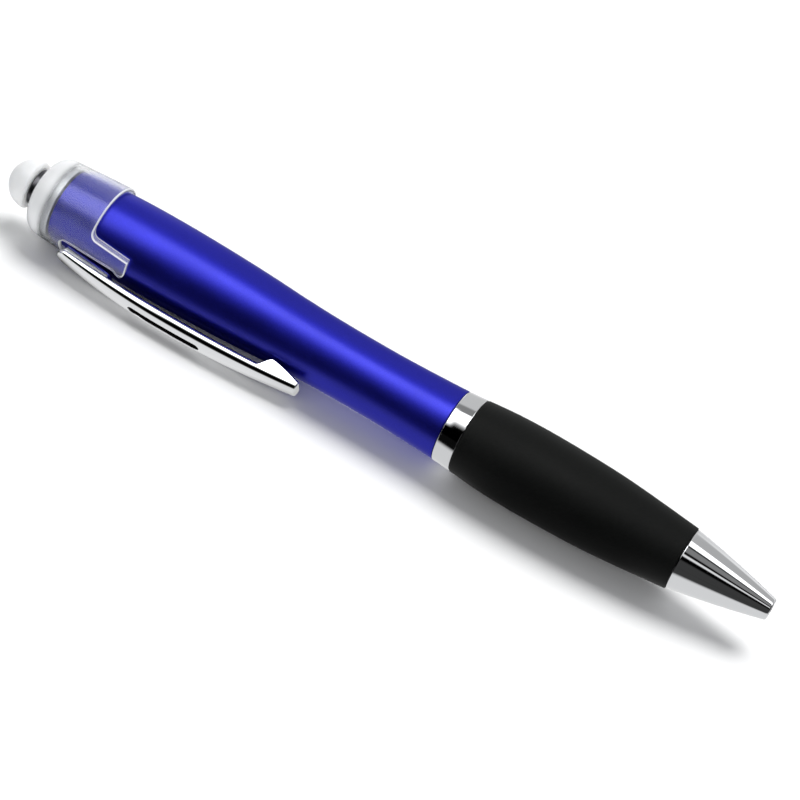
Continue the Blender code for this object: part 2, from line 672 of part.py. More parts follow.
def clip_section(station):
    """The clip's outline across the pen at a station: flat underside, straight sides, rounded crown, as (X, Y)."""
    half = CLIP_HALF_WIDTH - towards_ends(station, NARROWER_ROOT, NARROWER_TIP)
    into_root = max(0.0, (station - (CLIP_ROOT - ROOT_ROUNDING)) / ROOT_ROUNDING)
    half *= math.sqrt(1.0 - 0.9 * into_root ** 2)
    crown = CROWN_RHO - towards_ends(station, CROWN_DROP_ROOT, CROWN_DROP_TIP)
    arc_centre = crown - CROWN_ARC_R
    shoulder = arc_centre + math.sqrt(CROWN_ARC_R ** 2 - half ** 2)

    under = UNDER_RHO - towards_ends(station, UNDER_DROP_ROOT, UNDER_DROP_TIP)
    peak = smooth_radius(BARREL_KEYS, CATCH_PEAK) + CATCH_CLEARANCE
    if station < CATCH_PEAK:
        share = (CATCH_PEAK - station) / (CATCH_PEAK - CLIP_TIP)
        under = peak + (shoulder - TIP_WALL - peak) * share ** 2
    elif station < CATCH_START:
        share = (CATCH_START - station) / (CATCH_START - CATCH_PEAK)
        under += (peak - under) * share ** 2 * (3 - 2 * share)

    spread = math.degrees(math.asin(half / CROWN_ARC_R))
    top = arc((arc_centre, 0.0), (CROWN_ARC_R, CROWN_ARC_R), spread, -spread, 7)
    return [
        (under, -half + CLIP_EDGE), (under, half - CLIP_EDGE), (under + CLIP_EDGE, half),
        *top, (under + CLIP_EDGE, -half),
    ]


def make_clip():
    """A loft of sections along the bowed bar, with a foot joined under its root and a slot sunk in its crown."""
    stations = [
        CLIP_TIP, CLIP_TIP + 1.2, CLIP_TIP + 2.6, CLIP_TIP + 4.0, CATCH_PEAK - 0.6, CATCH_PEAK,
        CATCH_PEAK + 0.5, CATCH_PEAK + 1.0, CATCH_PEAK + 1.5, CATCH_START,
        *steps_between(CATCH_START + 4.0, CLIP_ROOT - ROOT_ROUNDING, 10),
        *[CLIP_ROOT - ROOT_ROUNDING * (1.0 - share) for share in (0.4, 0.7, 0.9, 1.0)],
    ]
    shape = bmesh.new()
    rings = []
    for station in stations:
        rings.append([shape.verts.new(Vector((x, y, station)) * MM) for x, y in clip_section(station)])
    around = len(rings[0])
    for ahead, behind in zip(rings, rings[1:]):
        for i in range(around):
            j = (i + 1) % around
            shape.faces.new((ahead[i], ahead[j], behind[j], behind[i]))
    shape.faces.new(rings[0])
    shape.faces.new(rings[-1])
    bmesh.ops.recalc_face_normals(shape, faces=shape.faces)
    mesh = bpy.data.meshes.new("clip")
    shape.to_mesh(mesh)
    shape.free()
    clip = place("clip", mesh, clip_pivot, CHROME)
    clip.location = (-CLIP_PIVOT_RHO * MM, 0.0, -CLIP_PIVOT_STATION * MM)

    foot_outline = rounded_slot(FOOT_HALF_WIDTH, *FOOT, FOOT_CORNER)
    combine(clip, prism("clip_foot", foot_outline, "X", FOOT_UNDER, UNDER_RHO, rear_section), "UNION")
    slot_outline = rounded_slot(CROWN_SLOT_HALF_WIDTH, *CROWN_SLOT, CROWN_SLOT_HALF_WIDTH)
    combine(clip, prism("crown_slot", slot_outline, "X", CROWN_SLOT_FLOOR, CROWN_RHO + 1.0, rear_section))


def rest_on_table():
    """Move the pen so that its box stands on Z = 0 and is centred on the origin."""
    bpy.context.view_layer.update()
    graph = bpy.context.evaluated_depsgraph_get()
    points = []
    for piece in parts.objects:
        if piece.type == "EMPTY":
            continue
        shown = piece.evaluated_get(graph)
        mesh = shown.to_mesh()
        points.extend(shown.matrix_world @ vertex.co for vertex in mesh.vertices)
        shown.to_mesh_clear()
    low_y, high_y = min(p.y for p in points), max(p.y for p in points)
    pen_axis.location.y -= (low_y + high_y) / 2
    pen_axis.location.z -= min(p.z for p in points)
    bpy.context.view_layer.update()
    print("pen axis at", [round(v / MM, 4) for v in pen_axis.matrix_world.translation], "mm")
    print("clip pivot at", [round(v / MM, 4) for v in clip_pivot.matrix_world.translation], "mm")


make_nose_cone()
make_rubber_grip()
make_center_band()
make_grip_core()
make_guide_tube()
make_cam_sleeve()
make_retaining_ring()
make_cam_follower()
make_refill()
make_return_spring()
make_upper_barrel()
make_end_plug()
make_clear_cap()
make_stylus()
make_clip()
rest_on_table()
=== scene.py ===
"""The looks of a stylus ballpoint pen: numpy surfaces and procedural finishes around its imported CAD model.

Lengths are in millimetres, and on_pen() turns them into the frame's metres. A station is the distance from
the nose's front face along the pen's axis, "out" is the distance from the axis towards the clip, and "side"
the distance across the clip.
"""
import json
import math

import bmesh
import bpy
import numpy as np
from mathutils import Matrix, Vector
from mathutils.geometry import delaunay_2d_cdt


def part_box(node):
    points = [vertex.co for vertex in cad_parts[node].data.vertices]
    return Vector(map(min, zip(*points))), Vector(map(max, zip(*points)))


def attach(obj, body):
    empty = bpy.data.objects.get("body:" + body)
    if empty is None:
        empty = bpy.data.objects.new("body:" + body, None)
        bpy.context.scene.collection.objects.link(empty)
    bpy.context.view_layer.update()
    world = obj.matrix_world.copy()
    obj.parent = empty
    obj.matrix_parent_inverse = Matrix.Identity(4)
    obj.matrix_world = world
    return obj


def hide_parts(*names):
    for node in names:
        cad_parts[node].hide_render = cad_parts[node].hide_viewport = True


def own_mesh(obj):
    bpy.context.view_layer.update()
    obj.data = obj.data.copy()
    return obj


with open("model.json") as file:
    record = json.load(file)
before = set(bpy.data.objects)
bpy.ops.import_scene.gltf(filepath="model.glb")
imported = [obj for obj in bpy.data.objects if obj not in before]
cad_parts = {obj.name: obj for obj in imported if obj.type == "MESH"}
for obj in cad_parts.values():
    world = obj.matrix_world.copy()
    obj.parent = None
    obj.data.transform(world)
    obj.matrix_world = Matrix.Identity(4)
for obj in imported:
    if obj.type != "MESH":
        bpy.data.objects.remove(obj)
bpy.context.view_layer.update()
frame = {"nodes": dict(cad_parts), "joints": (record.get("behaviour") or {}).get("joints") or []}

# The pen's own frame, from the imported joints

MM = 0.001
MICRON = 0.000001
JOINTS = {joint["name"]: joint for joint in frame["joints"]}
AXIS_POINT = np.array(JOINTS["barrel_twist"]["pos_m"])
NOSE_FACE = np.array((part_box("nose_cone")[1].x, AXIS_POINT[1], AXIS_POINT[2]))
TO_REAR = np.array((-1.0, 0.0, 0.0))
ACROSS = -np.array(JOINTS["clip_flex"]["axis"])
TO_CLIP = np.cross(ACROSS, TO_REAR)

# Roundings of small edges

FINE = 0.05
BROKEN = 0.1
SOFT = 0.15
ROUND = 0.3

# Sizes of the front section

NOSE_LENGTH = 15.3
NOSE_TIP_R = 1.75
NOSE_BASE_R = 5.05
NOSE_BULGE = 0.19
NOSE_EDGE = 0.12
NOSE_TIP_EDGE = 0.3
MOUTH_R = 1.25
MOUTH_LENGTH = 2.6
MOUTH_CONE = 0.3
POINT_BORE_R = 1.45
SPRING_SEAT = 7.0
SPRING_BORE_R = 2.5
SPIGOT_END = 20.5
SPIGOT_R = 3.1
GRIP_SPAN = (15.4, 52.86)
GRIP_KEYS = [(15.4, 5.22), (26.3, 6.28), (32.4, 6.64), (41.6, 6.81), (47.8, 6.64), (52.86, 6.22)]
GRIP_BORE_R = 4.5
GRIP_FRONT_EDGE = 0.1
GRIP_REAR_EDGE = 0.2
BAND_SPAN = (52.9, 56.1)
BAND_FRONT_R = 6.18
BAND_REAR_R = 5.95
BAND_BORE_R = 4.9
BAND_EDGE = 0.16

# Sizes of the refill and its spring

BALL_R = 0.5
BALL_STATION = 2.0
SOCKET_R = 0.6
SOCKET_RIM = 1.62
SOCKET_WALL = 0.15
SOCKET_EDGE = 0.06
POINT_R = 1.15
POINT_CONE_END = 4.6
POINT_REAR = 13.0
POINT_TAIL = 16.7
INK_CHANNEL_R = 0.25
INK_R = 0.85
INK_SPAN = (17.0, 58.0)
GREASE_SPAN = (58.3, 60.5)
MENISCUS = 0.3
TUBE_SPAN = (13.3, 66.2)
TUBE_R = 1.5
TUBE_BORE_R = 1.0
SPRING_STOP = (24.0, 25.0)
SPRING_STOP_R = 2.2
SPRING_STOP_CONE = 0.2
SPRING_SPAN = (7.48, 23.52)
SPRING_R = 1.95
SPRING_TURNS = 9
SPRING_CLOSING = 0.035
WIRE_R = 0.18

# Sizes of the rear section

BARREL_SPAN = (56.16, 127.1)
BARREL_KEYS = [
    (56.16, 5.94), (63.4, 5.66), (70.0, 5.53), (79.2, 5.62), (85.6, 5.86), (92.1, 6.23),
    (98.5, 6.50), (105.0, 6.66), (111.6, 6.70), (118.2, 6.54), (127.1, 5.86),
]
BARREL_EDGE = 0.14
BARREL_BORE_R = 4.65
BARREL_REAR_BORE_R = 5.1
BORE_STEP = (88.0, 98.0)
PLUG_FRONT = 121.0
PLUG_FLANGE = (127.4, 128.7)
PLUG_FLANGE_R = 5.95
PLUG_SPIGOT_R = 4.8
POST_HOLE_R = 1.65
POST_R = 1.35
POST_FRONT = 121.7
COLLAR = (132.4, 133.35)
COLLAR_R = 3.05
COLLAR_EDGE = 0.12
NECK_R = 1.9
HEAD = (134.6, 135.7)
HEAD_R = 2.6
HEAD_REAR_R = 2.4
DOME_REAR = 138.0
DOME_R = 4.1
DOME_BASE = 133.4
DOME_BASE_R = 3.05
DOME_LIP_REAR = 134.3
DOME_LIP_R = 2.2
DOME_HOLLOW_R = 2.9
DOME_HOLLOW_FRONT = 135.3
DOME_HOLLOW_TOP = 136.9

# Sizes of the clear cap

CAP_REAR = 132.1
CAP_REAR_FLAT_R = 3.6
CAP_SHOULDER = 129.4
CAP_SHOULDER_R = 6.65
CAP_FLARE = 0.0589
CAP_FLOOR = 129.0
CAP_FLOOR_R = 6.1
CAP_INNER_FLARE = 0.0574
CAP_LIP = 119.2
CAP_JOIN = 126.0
TONGUE_END = 111.9
TONGUE_HALF_WIDTH = 5.25
LIP_FILLET = (0.75, 1.1)
FOOT_SLOT = (113.2, 124.2)
FOOT_SLOT_HALF_WIDTH = 2.65
FOOT_SLOT_REAR_HALF = 2.2
FOOT_SLOT_CORNER = 1.0
NIB_SIDE = 3.6
NIB_R = 1.6
NIB_SWEEP = math.radians(60.0)
CORNER_CLEARANCE = 0.65
UNROLL_R = 7.3
RIM_WIDTH = 0.6
TONGUE_ROUND = 0.19
SLOT_ROUND = 0.34
SLOT_ROUND_SIDE = (FOOT_SLOT_HALF_WIDTH + 0.4, FOOT_SLOT_HALF_WIDTH + 0.1)
SLOT_ROUND_SPAN = (FOOT_SLOT[0], FOOT_SLOT[0] + 0.6)
LIP_ROUND = 0.25
LIP_ROUND_ANGLE = (0.8, 0.95)
LIP_ROUND_SPAN = (117.9, 119.1)
INNER_ROUND = 0.08
FACING_ANGLE_END = 2.6
FACING_LARGEST_SINE = 0.97
LEAST_TURN = 0.6
CLEAR_ROWS = 2
EDGE_FROST = 0.95
WALL_FROST = 0.24
FROST_SPAN = (128.0, 129.3)

# Sizes of the clip

CLIP_ROOT = 123.9
CLIP_TIP = 79.4
CLIP_MIDDLE = 103.0
CROWN_OUT = 10.17
CROWN_DROPS = (1.8, 1.65)
CROWN_ARC_R = 7.8
UNDER_OUT = 8.15
UNDER_DROPS = (0.75, 1.1)
CLIP_HALF_WIDTH = 2.43
CLIP_NARROWING = (0.55, 0.75)
CLIP_END_EDGE = 0.3
LEAST_REACH = 0.01
ROOT_ROUNDING = 1.9
ROOT_LOSS = 0.9
CROWN_EDGE = 0.85
CROWN_EDGE_SHARE = 0.55
INNER_EDGE = 0.7
INNER_EDGE_SHARE = 0.4
CATCH_START = 86.9
CATCH_PEAK = 84.7
CATCH_CLEARANCE = 0.08
CATCH_EDGE = 0.15
TAIL_RISE = 1.0
TAIL_CURVE = 1.5
TAIL_EDGE = 0.45
CROWN_SLOT = (96.1, 109.3)
CROWN_SLOT_HALF_WIDTH = 0.82
CROWN_SLOT_FLOOR = 9.3
SLOT_WALL = 0.05
# Black is painted into the crown's slot as the shade inside it. This value sets how soon it starts on the
# slot's walls.
SLOT_SHADE_FROM = 0.06
FOOT = (113.8, 123.4)
FOOT_HALF_WIDTH = 1.8
FOOT_CORNER = 0.7
FOOT_UNDER = 7.15
FOOT_TOP = 8.3
FOOT_EDGE = 0.2
FOOT_DRAFT = 0.3
FOOT_REAR_DROP = 0.8

# Fineness of the meshes

AROUND = 240
AROUND_SMALL = 96
AROUND_BALL = 64
ON_AXIS = 1e-9
CORNER_STEPS = 7
SHARP_ANGLE = math.radians(38.0)
AREA_WEIGHT = 100
NOSE_STEPS = 40
GRIP_STEPS = 60
SOCKET_STEPS = 12
BALL_STEPS = 33
MENISCUS_STEPS = 9
COIL_STEPS = 36
WIRE_STEPS = 14
BARREL_STEPS = 140
DOME_STEPS = 40
DOME_UNDER_STEPS = 16
SLOT_END_STEPS = 8
SLOT_REAR_STEPS = 12
SLOT_SIDE_STEPS = 40
SLOT_FRONT_STEPS = 9
NIB_STEPS = 14
TONGUE_END_STEPS = 7
TONGUE_SIDE_STEPS = 26
FILLET_STEPS = 14
LIP_STEPS = 70
RIM_STEPS = 7
WALL_ROWS = (0.2, 0.5, 0.8)
SHEET_SPACING = (0.5, 0.45)
SHEET_CLEARANCE = 0.25
SHEET_SIDE_STEPS = 14
FLAT_MERGE = 1e-6
FILL_INSIDE = 1
TINY = 1e-12
SHOULDER_STEPS = 20
CAP_END_STEPS = 8
CAP_ANGLES = np.linspace(-math.pi, math.pi, AROUND + 1)
SEAM_MERGE = 0.002
CROWN_COLUMNS = ((0.0, 0.34, 5), (0.38, 0.58, 19), (0.64, 1.0, 7))
CROWN_EDGE_STEPS = 12
INNER_EDGE_STEPS = 10
UNDERSIDE_STEPS = 12
CLIP_END_STEPS = 7
CLIP_ROOT_STEPS = 16
CLIP_ROWS = (
    (CLIP_TIP + CLIP_END_EDGE, 87.5, 48), (88.0, 95.6, 12), (95.9, 97.2, 34), (97.6, 107.8, 14),
    (108.2, 109.5, 34), (110.0, CLIP_ROOT - ROOT_ROUNDING, 16),
)
FOOT_STEPS = 9


# Surfaces

def on_pen(station, out, side):
    """Points of the frame: the nose's face plus station, out and side along the pen's three directions."""
    station, out, side = np.broadcast_arrays(
        np.asarray(station, float), np.asarray(out, float), np.asarray(side, float)
    )
    along = station[..., None] * TO_REAR + out[..., None] * TO_CLIP + side[..., None] * ACROSS
    return NOSE_FACE + MM * along


def rising(place, start, full):
    """0 up to start, 1 from full on, and between them 3v^2 - 2v^3 of the share v of the way."""
    share = np.clip((place - start) / (full - start), 0.0, 1.0)
    return share * share * (3.0 - 2.0 * share)


def mixed(first, second, share):
    """The value a share of the way from first to second."""
    return first + (second - first) * share


def unit(vectors):
    """Vectors divided by their lengths."""
    return vectors / np.linalg.norm(vectors, axis=-1, keepdims=True)


def smooth_radius(keys, station):
    """The cubic curve through (station, radius) keys whose slope at a key is that of the line from the key
    before to the key after."""
    at, radius = np.array(keys).T
    ahead = np.minimum(np.arange(len(at)) + 1, len(at) - 1)
    behind = np.maximum(np.arange(len(at)) - 1, 0)
    slope = (radius[ahead] - radius[behind]) / (at[ahead] - at[behind])
    i = np.clip(np.searchsorted(at, station) - 1, 0, len(at) - 2)
    span = at[i + 1] - at[i]
    t = (station - at[i]) / span
    return (
        radius[i] * (1 + 2 * t) * (1 - t) ** 2
        + radius[i + 1] * t ** 2 * (3 - 2 * t)
        + span * t * (1 - t) * (slope[i] * (1 - t) - slope[i + 1] * t)
    )


def arc_points(centre, radii, start, stop, count):
    """Points on an ellipse's arc, from angle start to stop."""
    angle = np.linspace(start, stop, count)
    return np.stack([centre[0] + radii[0] * np.cos(angle), centre[1] + radii[1] * np.sin(angle)], axis=1)


def round_corner(start, corner, end, steps):
    """Circle arcs from start to end with tangents that meet at corner: a rational quadratic whose middle
    weight is the sine of half the corner's angle. The points are stacked on a new axis before the last."""
    first = start - corner
    second = end - corner
    length = np.linalg.norm(first, axis=-1) * np.linalg.norm(second, axis=-1)
    cosine = np.sum(first * second, axis=-1) / np.where(length > 0, length, 1.0)
    weight = np.sqrt(np.clip((1.0 - cosine) / 2.0, 0.0, 1.0))[..., None, None]
    t = np.linspace(0.0, 1.0, steps)[:, None]
    parts = ((1 - t) ** 2, 2 * t * (1 - t) * weight, t ** 2)
    above = parts[0] * start[..., None, :] + parts[1] * corner[..., None, :] + parts[2] * end[..., None, :]
    return above / (parts[0] + parts[1] + parts[2])


def rounded(corners):
    """A closed outline through rows of (station, radius, rounding). A corner with a rounding becomes an arc
    that starts and ends at that distance along its two sides."""
    corners = np.asarray(corners, float)
    point, rounding = corners[:, :2], corners[:, 2:]
    start = point + unit(np.roll(point, 1, axis=0) - point) * rounding
    end = point + unit(np.roll(point, -1, axis=0) - point) * rounding
    arcs = round_corner(start, point, end, CORNER_STEPS)
    kept = (rounding > 0) | (np.arange(CORNER_STEPS) == 0)
    return arcs[kept]


def curve_rows(station, radius, first_rounding=0.0, last_rounding=0.0):
    """Outline rows along a curve, with a rounding at its two ends only."""
    rows = np.stack([station, radius, np.zeros(len(station))], axis=1)
    rows[0, 2] = first_rounding
    rows[-1, 2] = last_rounding
    return rows


def grid_quads(rows, columns, close_rows=False, close_columns=False):
    """Corner numbers of the quads between neighbours of a grid of points, joined round where it closes."""
    r = np.arange(rows if close_rows else rows - 1)[:, None]
    c = np.arange(columns if close_columns else columns - 1)[None, :]
    r_next = (r + 1) % rows
    c_next = (c + 1) % columns
    quads = np.stack(np.broadcast_arrays(
        r * columns + c, r * columns + c_next, r_next * columns + c_next, r_next * columns + c,
    ), axis=-1)
    return quads.reshape(-1, 4)


def outward(points, faces):
    """The faces turned so that the shell's volume, the sum of its corners' triple products, is positive."""
    volume = 0.0
    for group in faces:
        corners = points[group]
        for last in range(2, group.shape[1]):
            turn = np.cross(corners[:, last - 1], corners[:, last])
            volume += np.sum(corners[:, 0] * turn)
    return [group[:, ::-1] for group in faces] if volume < 0 else faces


def add_object(name, data):
    """A new object in the scene, at the origin and unscaled."""
    added = bpy.data.objects.new(name, data)
    bpy.context.scene.collection.objects.link(added)
    return added


def add_mesh(name, points, faces, finish):
    """An object of one finish, from points and arrays of corner numbers."""
    mesh = bpy.data.meshes.new(name)
    mesh.from_pydata(points, [], [corners for group in faces for corners in group.tolist()])
    mesh.materials.append(finish)
    return add_object(name, mesh)


def set_attribute(added, name, values):
    """A value for each point of an object's mesh, which its finish reads by name."""
    added.data.attributes.new(name, "FLOAT", "POINT").data.foreach_set("value", np.ravel(values))


def new_piece(name, points, faces, finish, body, slot, *nodes):
    """A smooth-shaded piece that rides on a body and stands for CAD nodes. Its slot argument is not used."""
    piece = add_mesh(name, points, faces, finish)
    piece.data.shade_smooth()
    piece.data.set_sharp_from_angle(angle=SHARP_ANGLE)
    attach(piece, body)
    if nodes:
        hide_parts(*nodes)
    return piece


def even_normals(piece):
    """Shades flat faces flat beside small roundings: normals weighted by face area."""
    step = piece.modifiers.new("even_normals", "WEIGHTED_NORMAL")
    step.keep_sharp = True
    step.weight = AREA_WEIGHT


def turned(name, profile, finish, body, slot, around=AROUND):
    """A profile of (station, radius) carried round the axis: out is radius cos angle, side is radius sin
    angle. A profile that starts and ends on the axis closes there in two poles."""
    angle = np.linspace(0.0, math.tau, around, endpoint=False)
    on_axis = profile[:, 1] < ON_AXIS
    station, radius = profile[~on_axis, :1], profile[~on_axis, 1:]
    points = on_pen(station, radius * np.cos(angle), radius * np.sin(angle)).reshape(-1, 3)
    faces = [grid_quads(len(station), around, not on_axis.any(), True)]
    if on_axis.any():
        this = np.arange(around)
        following = (this + 1) % around
        last_ring = (len(station) - 1) * around
        pole = np.full(around, len(points))
        points = np.concatenate([points, on_pen(profile[on_axis, 0], 0.0, 0.0)])
        faces.append(np.stack([pole, following, this], axis=1))
        faces.append(np.stack([pole + 1, last_ring + this, last_ring + following], axis=1))
    even_normals(new_piece(name + "_look", points, outward(points, faces), finish, body, slot, name))


def lofted(name, rings, finish, body, slot, *nodes):
    """Rings of points joined one to the next, with a flat face over the first and the last."""
    rows, columns = rings.shape[:2]
    points = rings.reshape(-1, 3)
    ends = np.stack([np.arange(columns)[::-1], (rows - 1) * columns + np.arange(columns)])
    faces = outward(points, [grid_quads(rows, columns, False, True), ends])
    return new_piece(name, points, faces, finish, body, slot, *nodes)


# Finishes

CHROME_COLOUR = (0.74, 0.75, 0.765)
# Black painted into the crown's slot, as the shade inside it.
SLOT_SHADE_COLOUR = (0.004, 0.004, 0.004)
CLEAR_COLOUR = (0.93, 0.94, 0.95)
# The blue light that the barrel throws back onto the inside of the cap, painted into the veil.
BARREL_BOUNCE_COLOUR = (0.42, 0.45, 0.97)
DRAWN_OUT = (0.4, 1.0, 1.0)
TOOL_LINES = (1.0, 0.02, 0.02)


def feed(owner, node, in_order, inputs):
    """Gives a node's sockets values, or links those whose value is another node's output: the first ones
    in order, and others by their names with underscores for spaces."""
    named = [(node.inputs[name.replace("_", " ")], value) for name, value in inputs.items()]
    for socket, value in [*zip(node.inputs, in_order), *named]:
        if isinstance(value, bpy.types.NodeSocket):
            owner.node_tree.links.new(value, socket)
        else:
            socket.default_value = value


def add_node(owner, kind, settings=None, in_order=(), **inputs):
    """A shader node of a kind, with settings as its properties."""
    node = owner.node_tree.nodes.new("ShaderNode" + kind)
    for key, value in (settings or {}).items():
        setattr(node, key, value)
    feed(owner, node, in_order, inputs)
    return node


def wire(material, **inputs):
    """Feeds sockets of a material's shader."""
    feed(material, material.node_tree.nodes["Principled BSDF"], (), inputs)


def new_finish(name, colour, **inputs):
    """A material of one Principled shader, whose own sockets hold what is the same all over."""
    material = bpy.data.materials.new(name)
    material.use_nodes = True
    wire(material, Base_Color=(*colour, 1.0), **inputs)
    return material


def pattern(material, scale, stretch=(1.0, 1.0, 1.0), detail=4.0):
    """Noise on Object coordinates, in cycles per metre, squeezed along each direction by stretch."""
    place = add_node(material, "TexCoord").outputs["Object"]
    place = add_node(material, "Mapping", Vector=place, Scale=stretch).outputs["Vector"]
    noise = add_node(material, "TexNoise", Vector=place, Scale=scale, Detail=detail, Roughness=0.55)
    return noise.outputs["Fac"]


def flakes(material, scale):
    """Random values, one for each small cell of the surface, as metal flakes in a lacquer have."""
    place = add_node(material, "TexCoord").outputs["Object"]
    cells = add_node(material, "TexVoronoi", Vector=place, Scale=scale).outputs["Color"]
    return add_node(material, "SeparateColor", Color=cells).outputs["Red"]


def painted(material, attribute):
    """A mesh attribute as a value."""
    return add_node(material, "Attribute", {"attribute_name": attribute}).outputs["Fac"]


def spread(material, value, low, high, start=0.3, stop=0.7):
    """A value between start and stop carried over to the range from low to high."""
    limits = {"From_Min": start, "From_Max": stop, "To_Min": low, "To_Max": high}
    return add_node(material, "MapRange", Value=value, **limits).outputs["Result"]


def shade(material, value, first, second, start=0.3, stop=0.7):
    """A colour that runs from first to second as a value goes from start to stop."""
    ramp = add_node(material, "ValToRGB", Fac=value)
    for element, position, colour in zip(ramp.color_ramp.elements, (start, stop), (first, second)):
        element.position = position
        element.color = (*colour, 1.0)
    return ramp.outputs["Color"]


def emboss(material, value, microns, strength=1.0):
    """Raises the surface by a height in microns where a value is 1."""
    bump = add_node(material, "Bump", Height=value, Strength=strength, Distance=microns * MICRON)
    wire(material, Normal=bump.outputs["Normal"])


def make_chrome(name, smoothest=0.03, roughest=0.08):
    """Chrome plate: a faint waviness from the moulding under it, and hairline wear in its gloss."""
    chrome = new_finish(name, CHROME_COLOUR, Metallic=1.0, Roughness=roughest)
    wear = pattern(chrome, 900.0, (0.2, 1.0, 1.0))
    wire(chrome, Roughness=spread(chrome, wear, smoothest, roughest))
    emboss(chrome, pattern(chrome, 220.0, detail=1.0), microns=1.5)
    return chrome


def make_clip_chrome():
    """The same plate, painted black in the crown's slot where the mesh attribute is 1: painted shade that
    stands in for the dark inside the deep slot.
    """
    chrome = make_chrome("clip_chrome")
    slot_shade = painted(chrome, "painted_slot_shade")
    wire(
        chrome, Base_Color=shade(chrome, slot_shade, CHROME_COLOUR, SLOT_SHADE_COLOUR),
        Metallic=spread(chrome, slot_shade, 1.0, 0.0), Specular_IOR_Level=spread(chrome, slot_shade, 0.5, 0.0),
    )
    return chrome


def make_blue_lacquer():
    """Satin metallic blue: flakes that vary in colour and tilt, a clouded gloss and a thin clear coat."""
    lacquer = new_finish(
        "blue_lacquer", (0.020, 0.022, 0.42), Metallic=1.0, Roughness=0.46,
        Specular_Tint=(0.3, 0.3, 0.6, 1.0), Coat_Weight=0.3, Coat_Roughness=0.26,
    )
    cells = flakes(lacquer, 14000.0)
    cloud = pattern(lacquer, 260.0, (0.5, 1.0, 1.0))
    wire(
        lacquer, Base_Color=shade(lacquer, cells, (0.016, 0.018, 0.37), (0.024, 0.026, 0.46), 0.0, 1.0),
        Roughness=spread(lacquer, cloud, 0.43, 0.49),
    )
    emboss(lacquer, cells, microns=4.0, strength=0.25)
    return lacquer


def make_black_rubber():
    """Matt black rubber: fine moulded grain, with a dusty bloom that comes and goes."""
    rubber = new_finish("black_rubber", (0.0020, 0.0024, 0.0022), Roughness=0.58, Specular_IOR_Level=0.13)
    bloom = pattern(rubber, 150.0, (0.6, 1.0, 1.0))
    wire(
        rubber, Base_Color=shade(rubber, bloom, (0.0016, 0.0020, 0.0018), (0.0024, 0.0028, 0.0026)),
        Roughness=spread(rubber, bloom, 0.54, 0.64),
    )
    emboss(rubber, pattern(rubber, 9000.0, detail=2.0), microns=30.0, strength=0.5)
    return rubber


def make_clear_plastic():
    """Clear moulded plastic with a milky veil. The frost attribute whitens its edges and its thick end. A
    second attribute is 1 inside, where the veil is painted with the blue light that the barrel under it
    throws back."""
    plastic = new_finish("clear_plastic", CLEAR_COLOUR, Roughness=0.18, IOR=1.38, Transmission_Weight=0.97)
    frost = painted(plastic, "frost")
    painted_barrel_bounce = painted(plastic, "painted_barrel_bounce")
    flow = pattern(plastic, 180.0, DRAWN_OUT)
    clear = add_node(plastic, "Math", {"operation": "SUBTRACT"}, (
        spread(plastic, frost, 0.98, 0.2, 0.0, 1.0), spread(plastic, painted_barrel_bounce, 0.0, 0.12, 0.0, 1.0),
    ))
    wire(
        plastic, Base_Color=shade(plastic, painted_barrel_bounce, CLEAR_COLOUR, BARREL_BOUNCE_COLOUR, 0.0, 1.0),
        Transmission_Weight=clear.outputs["Value"], Roughness=spread(plastic, flow, 0.15, 0.21),
    )
    emboss(plastic, flow, microns=4.0)
    return plastic


def make_silicone():
    """Translucent white silicone: light goes some way in, and the skin has a fine matt grain."""
    silicone = new_finish(
        "silicone", (0.97, 0.98, 0.97), Roughness=0.42, Subsurface_Weight=0.9, Subsurface_Scale=0.003,
        Subsurface_Radius=(1.0, 0.95, 0.9), Specular_IOR_Level=0.3,
    )
    skin = pattern(silicone, 1200.0)
    wire(silicone, Roughness=spread(silicone, skin, 0.36, 0.48))
    emboss(silicone, skin, microns=8.0)
    return silicone


def marked(material, marks, colour, roughness, darkening, change):
    """Marks that darken a colour to a share of itself and change a roughness both ways by a share."""
    darker = tuple(darkening * part for part in colour)
    wire(
        material, Base_Color=shade(material, marks, darker, colour),
        Roughness=spread(material, marks, roughness * (1.0 - change), roughness * (1.0 + change)),
    )


def make_metal(name, colour, roughness, line_scale):
    """Turned metal: fine tool lines round the axis, in its colour, its gloss and its relief."""
    metal = new_finish(name, colour, Metallic=1.0, Roughness=roughness)
    lines = pattern(metal, line_scale, TOOL_LINES, detail=3.0)
    marked(metal, lines, colour, roughness, darkening=0.8, change=0.3)
    emboss(metal, lines, microns=4.0)
    return metal


def make_plastic(name, colour, roughness, **inputs):
    """Moulded plastic: slight clouding in its colour, flow marks in its gloss and a fine grain."""
    plastic = new_finish(name, colour, Roughness=roughness, **inputs)
    marked(plastic, pattern(plastic, 400.0, DRAWN_OUT), colour, roughness, darkening=0.88, change=0.2)
    emboss(plastic, pattern(plastic, 5000.0, detail=2.0), microns=6.0)
    return plastic


CHROME = make_chrome("chrome_plate")
SATIN_CHROME = make_chrome("satin_chrome", 0.54, 0.62)
CLIP_CHROME = make_clip_chrome()
BLUE_LACQUER = make_blue_lacquer()
BLACK_RUBBER = make_black_rubber()
CLEAR_PLASTIC = make_clear_plastic()
SILICONE = make_silicone()
DARK_METAL = make_metal("dark_metal", (0.10, 0.10, 0.11), 0.28, 9000.0)
STEEL = make_metal("steel", (0.55, 0.56, 0.58), 0.25, 7000.0)
BRASS = make_metal("brass_tip", (0.72, 0.56, 0.28), 0.24, 12000.0)
WHITE_ACETAL = make_plastic("white_acetal", (0.80, 0.80, 0.78), 0.45)
BLACK_ACETAL = make_plastic("black_acetal", (0.03, 0.03, 0.03), 0.45)
TUBE_PLASTIC = make_plastic("tube_plastic", (0.78, 0.80, 0.82), 0.25, Transmission_Weight=0.7, IOR=1.5)
INK = make_plastic("ink", (0.01, 0.01, 0.10), 0.15)
GREASE = make_plastic("grease", (0.75, 0.70, 0.50), 0.25, Subsurface_Weight=0.5, Subsurface_Scale=0.001)


# Front section

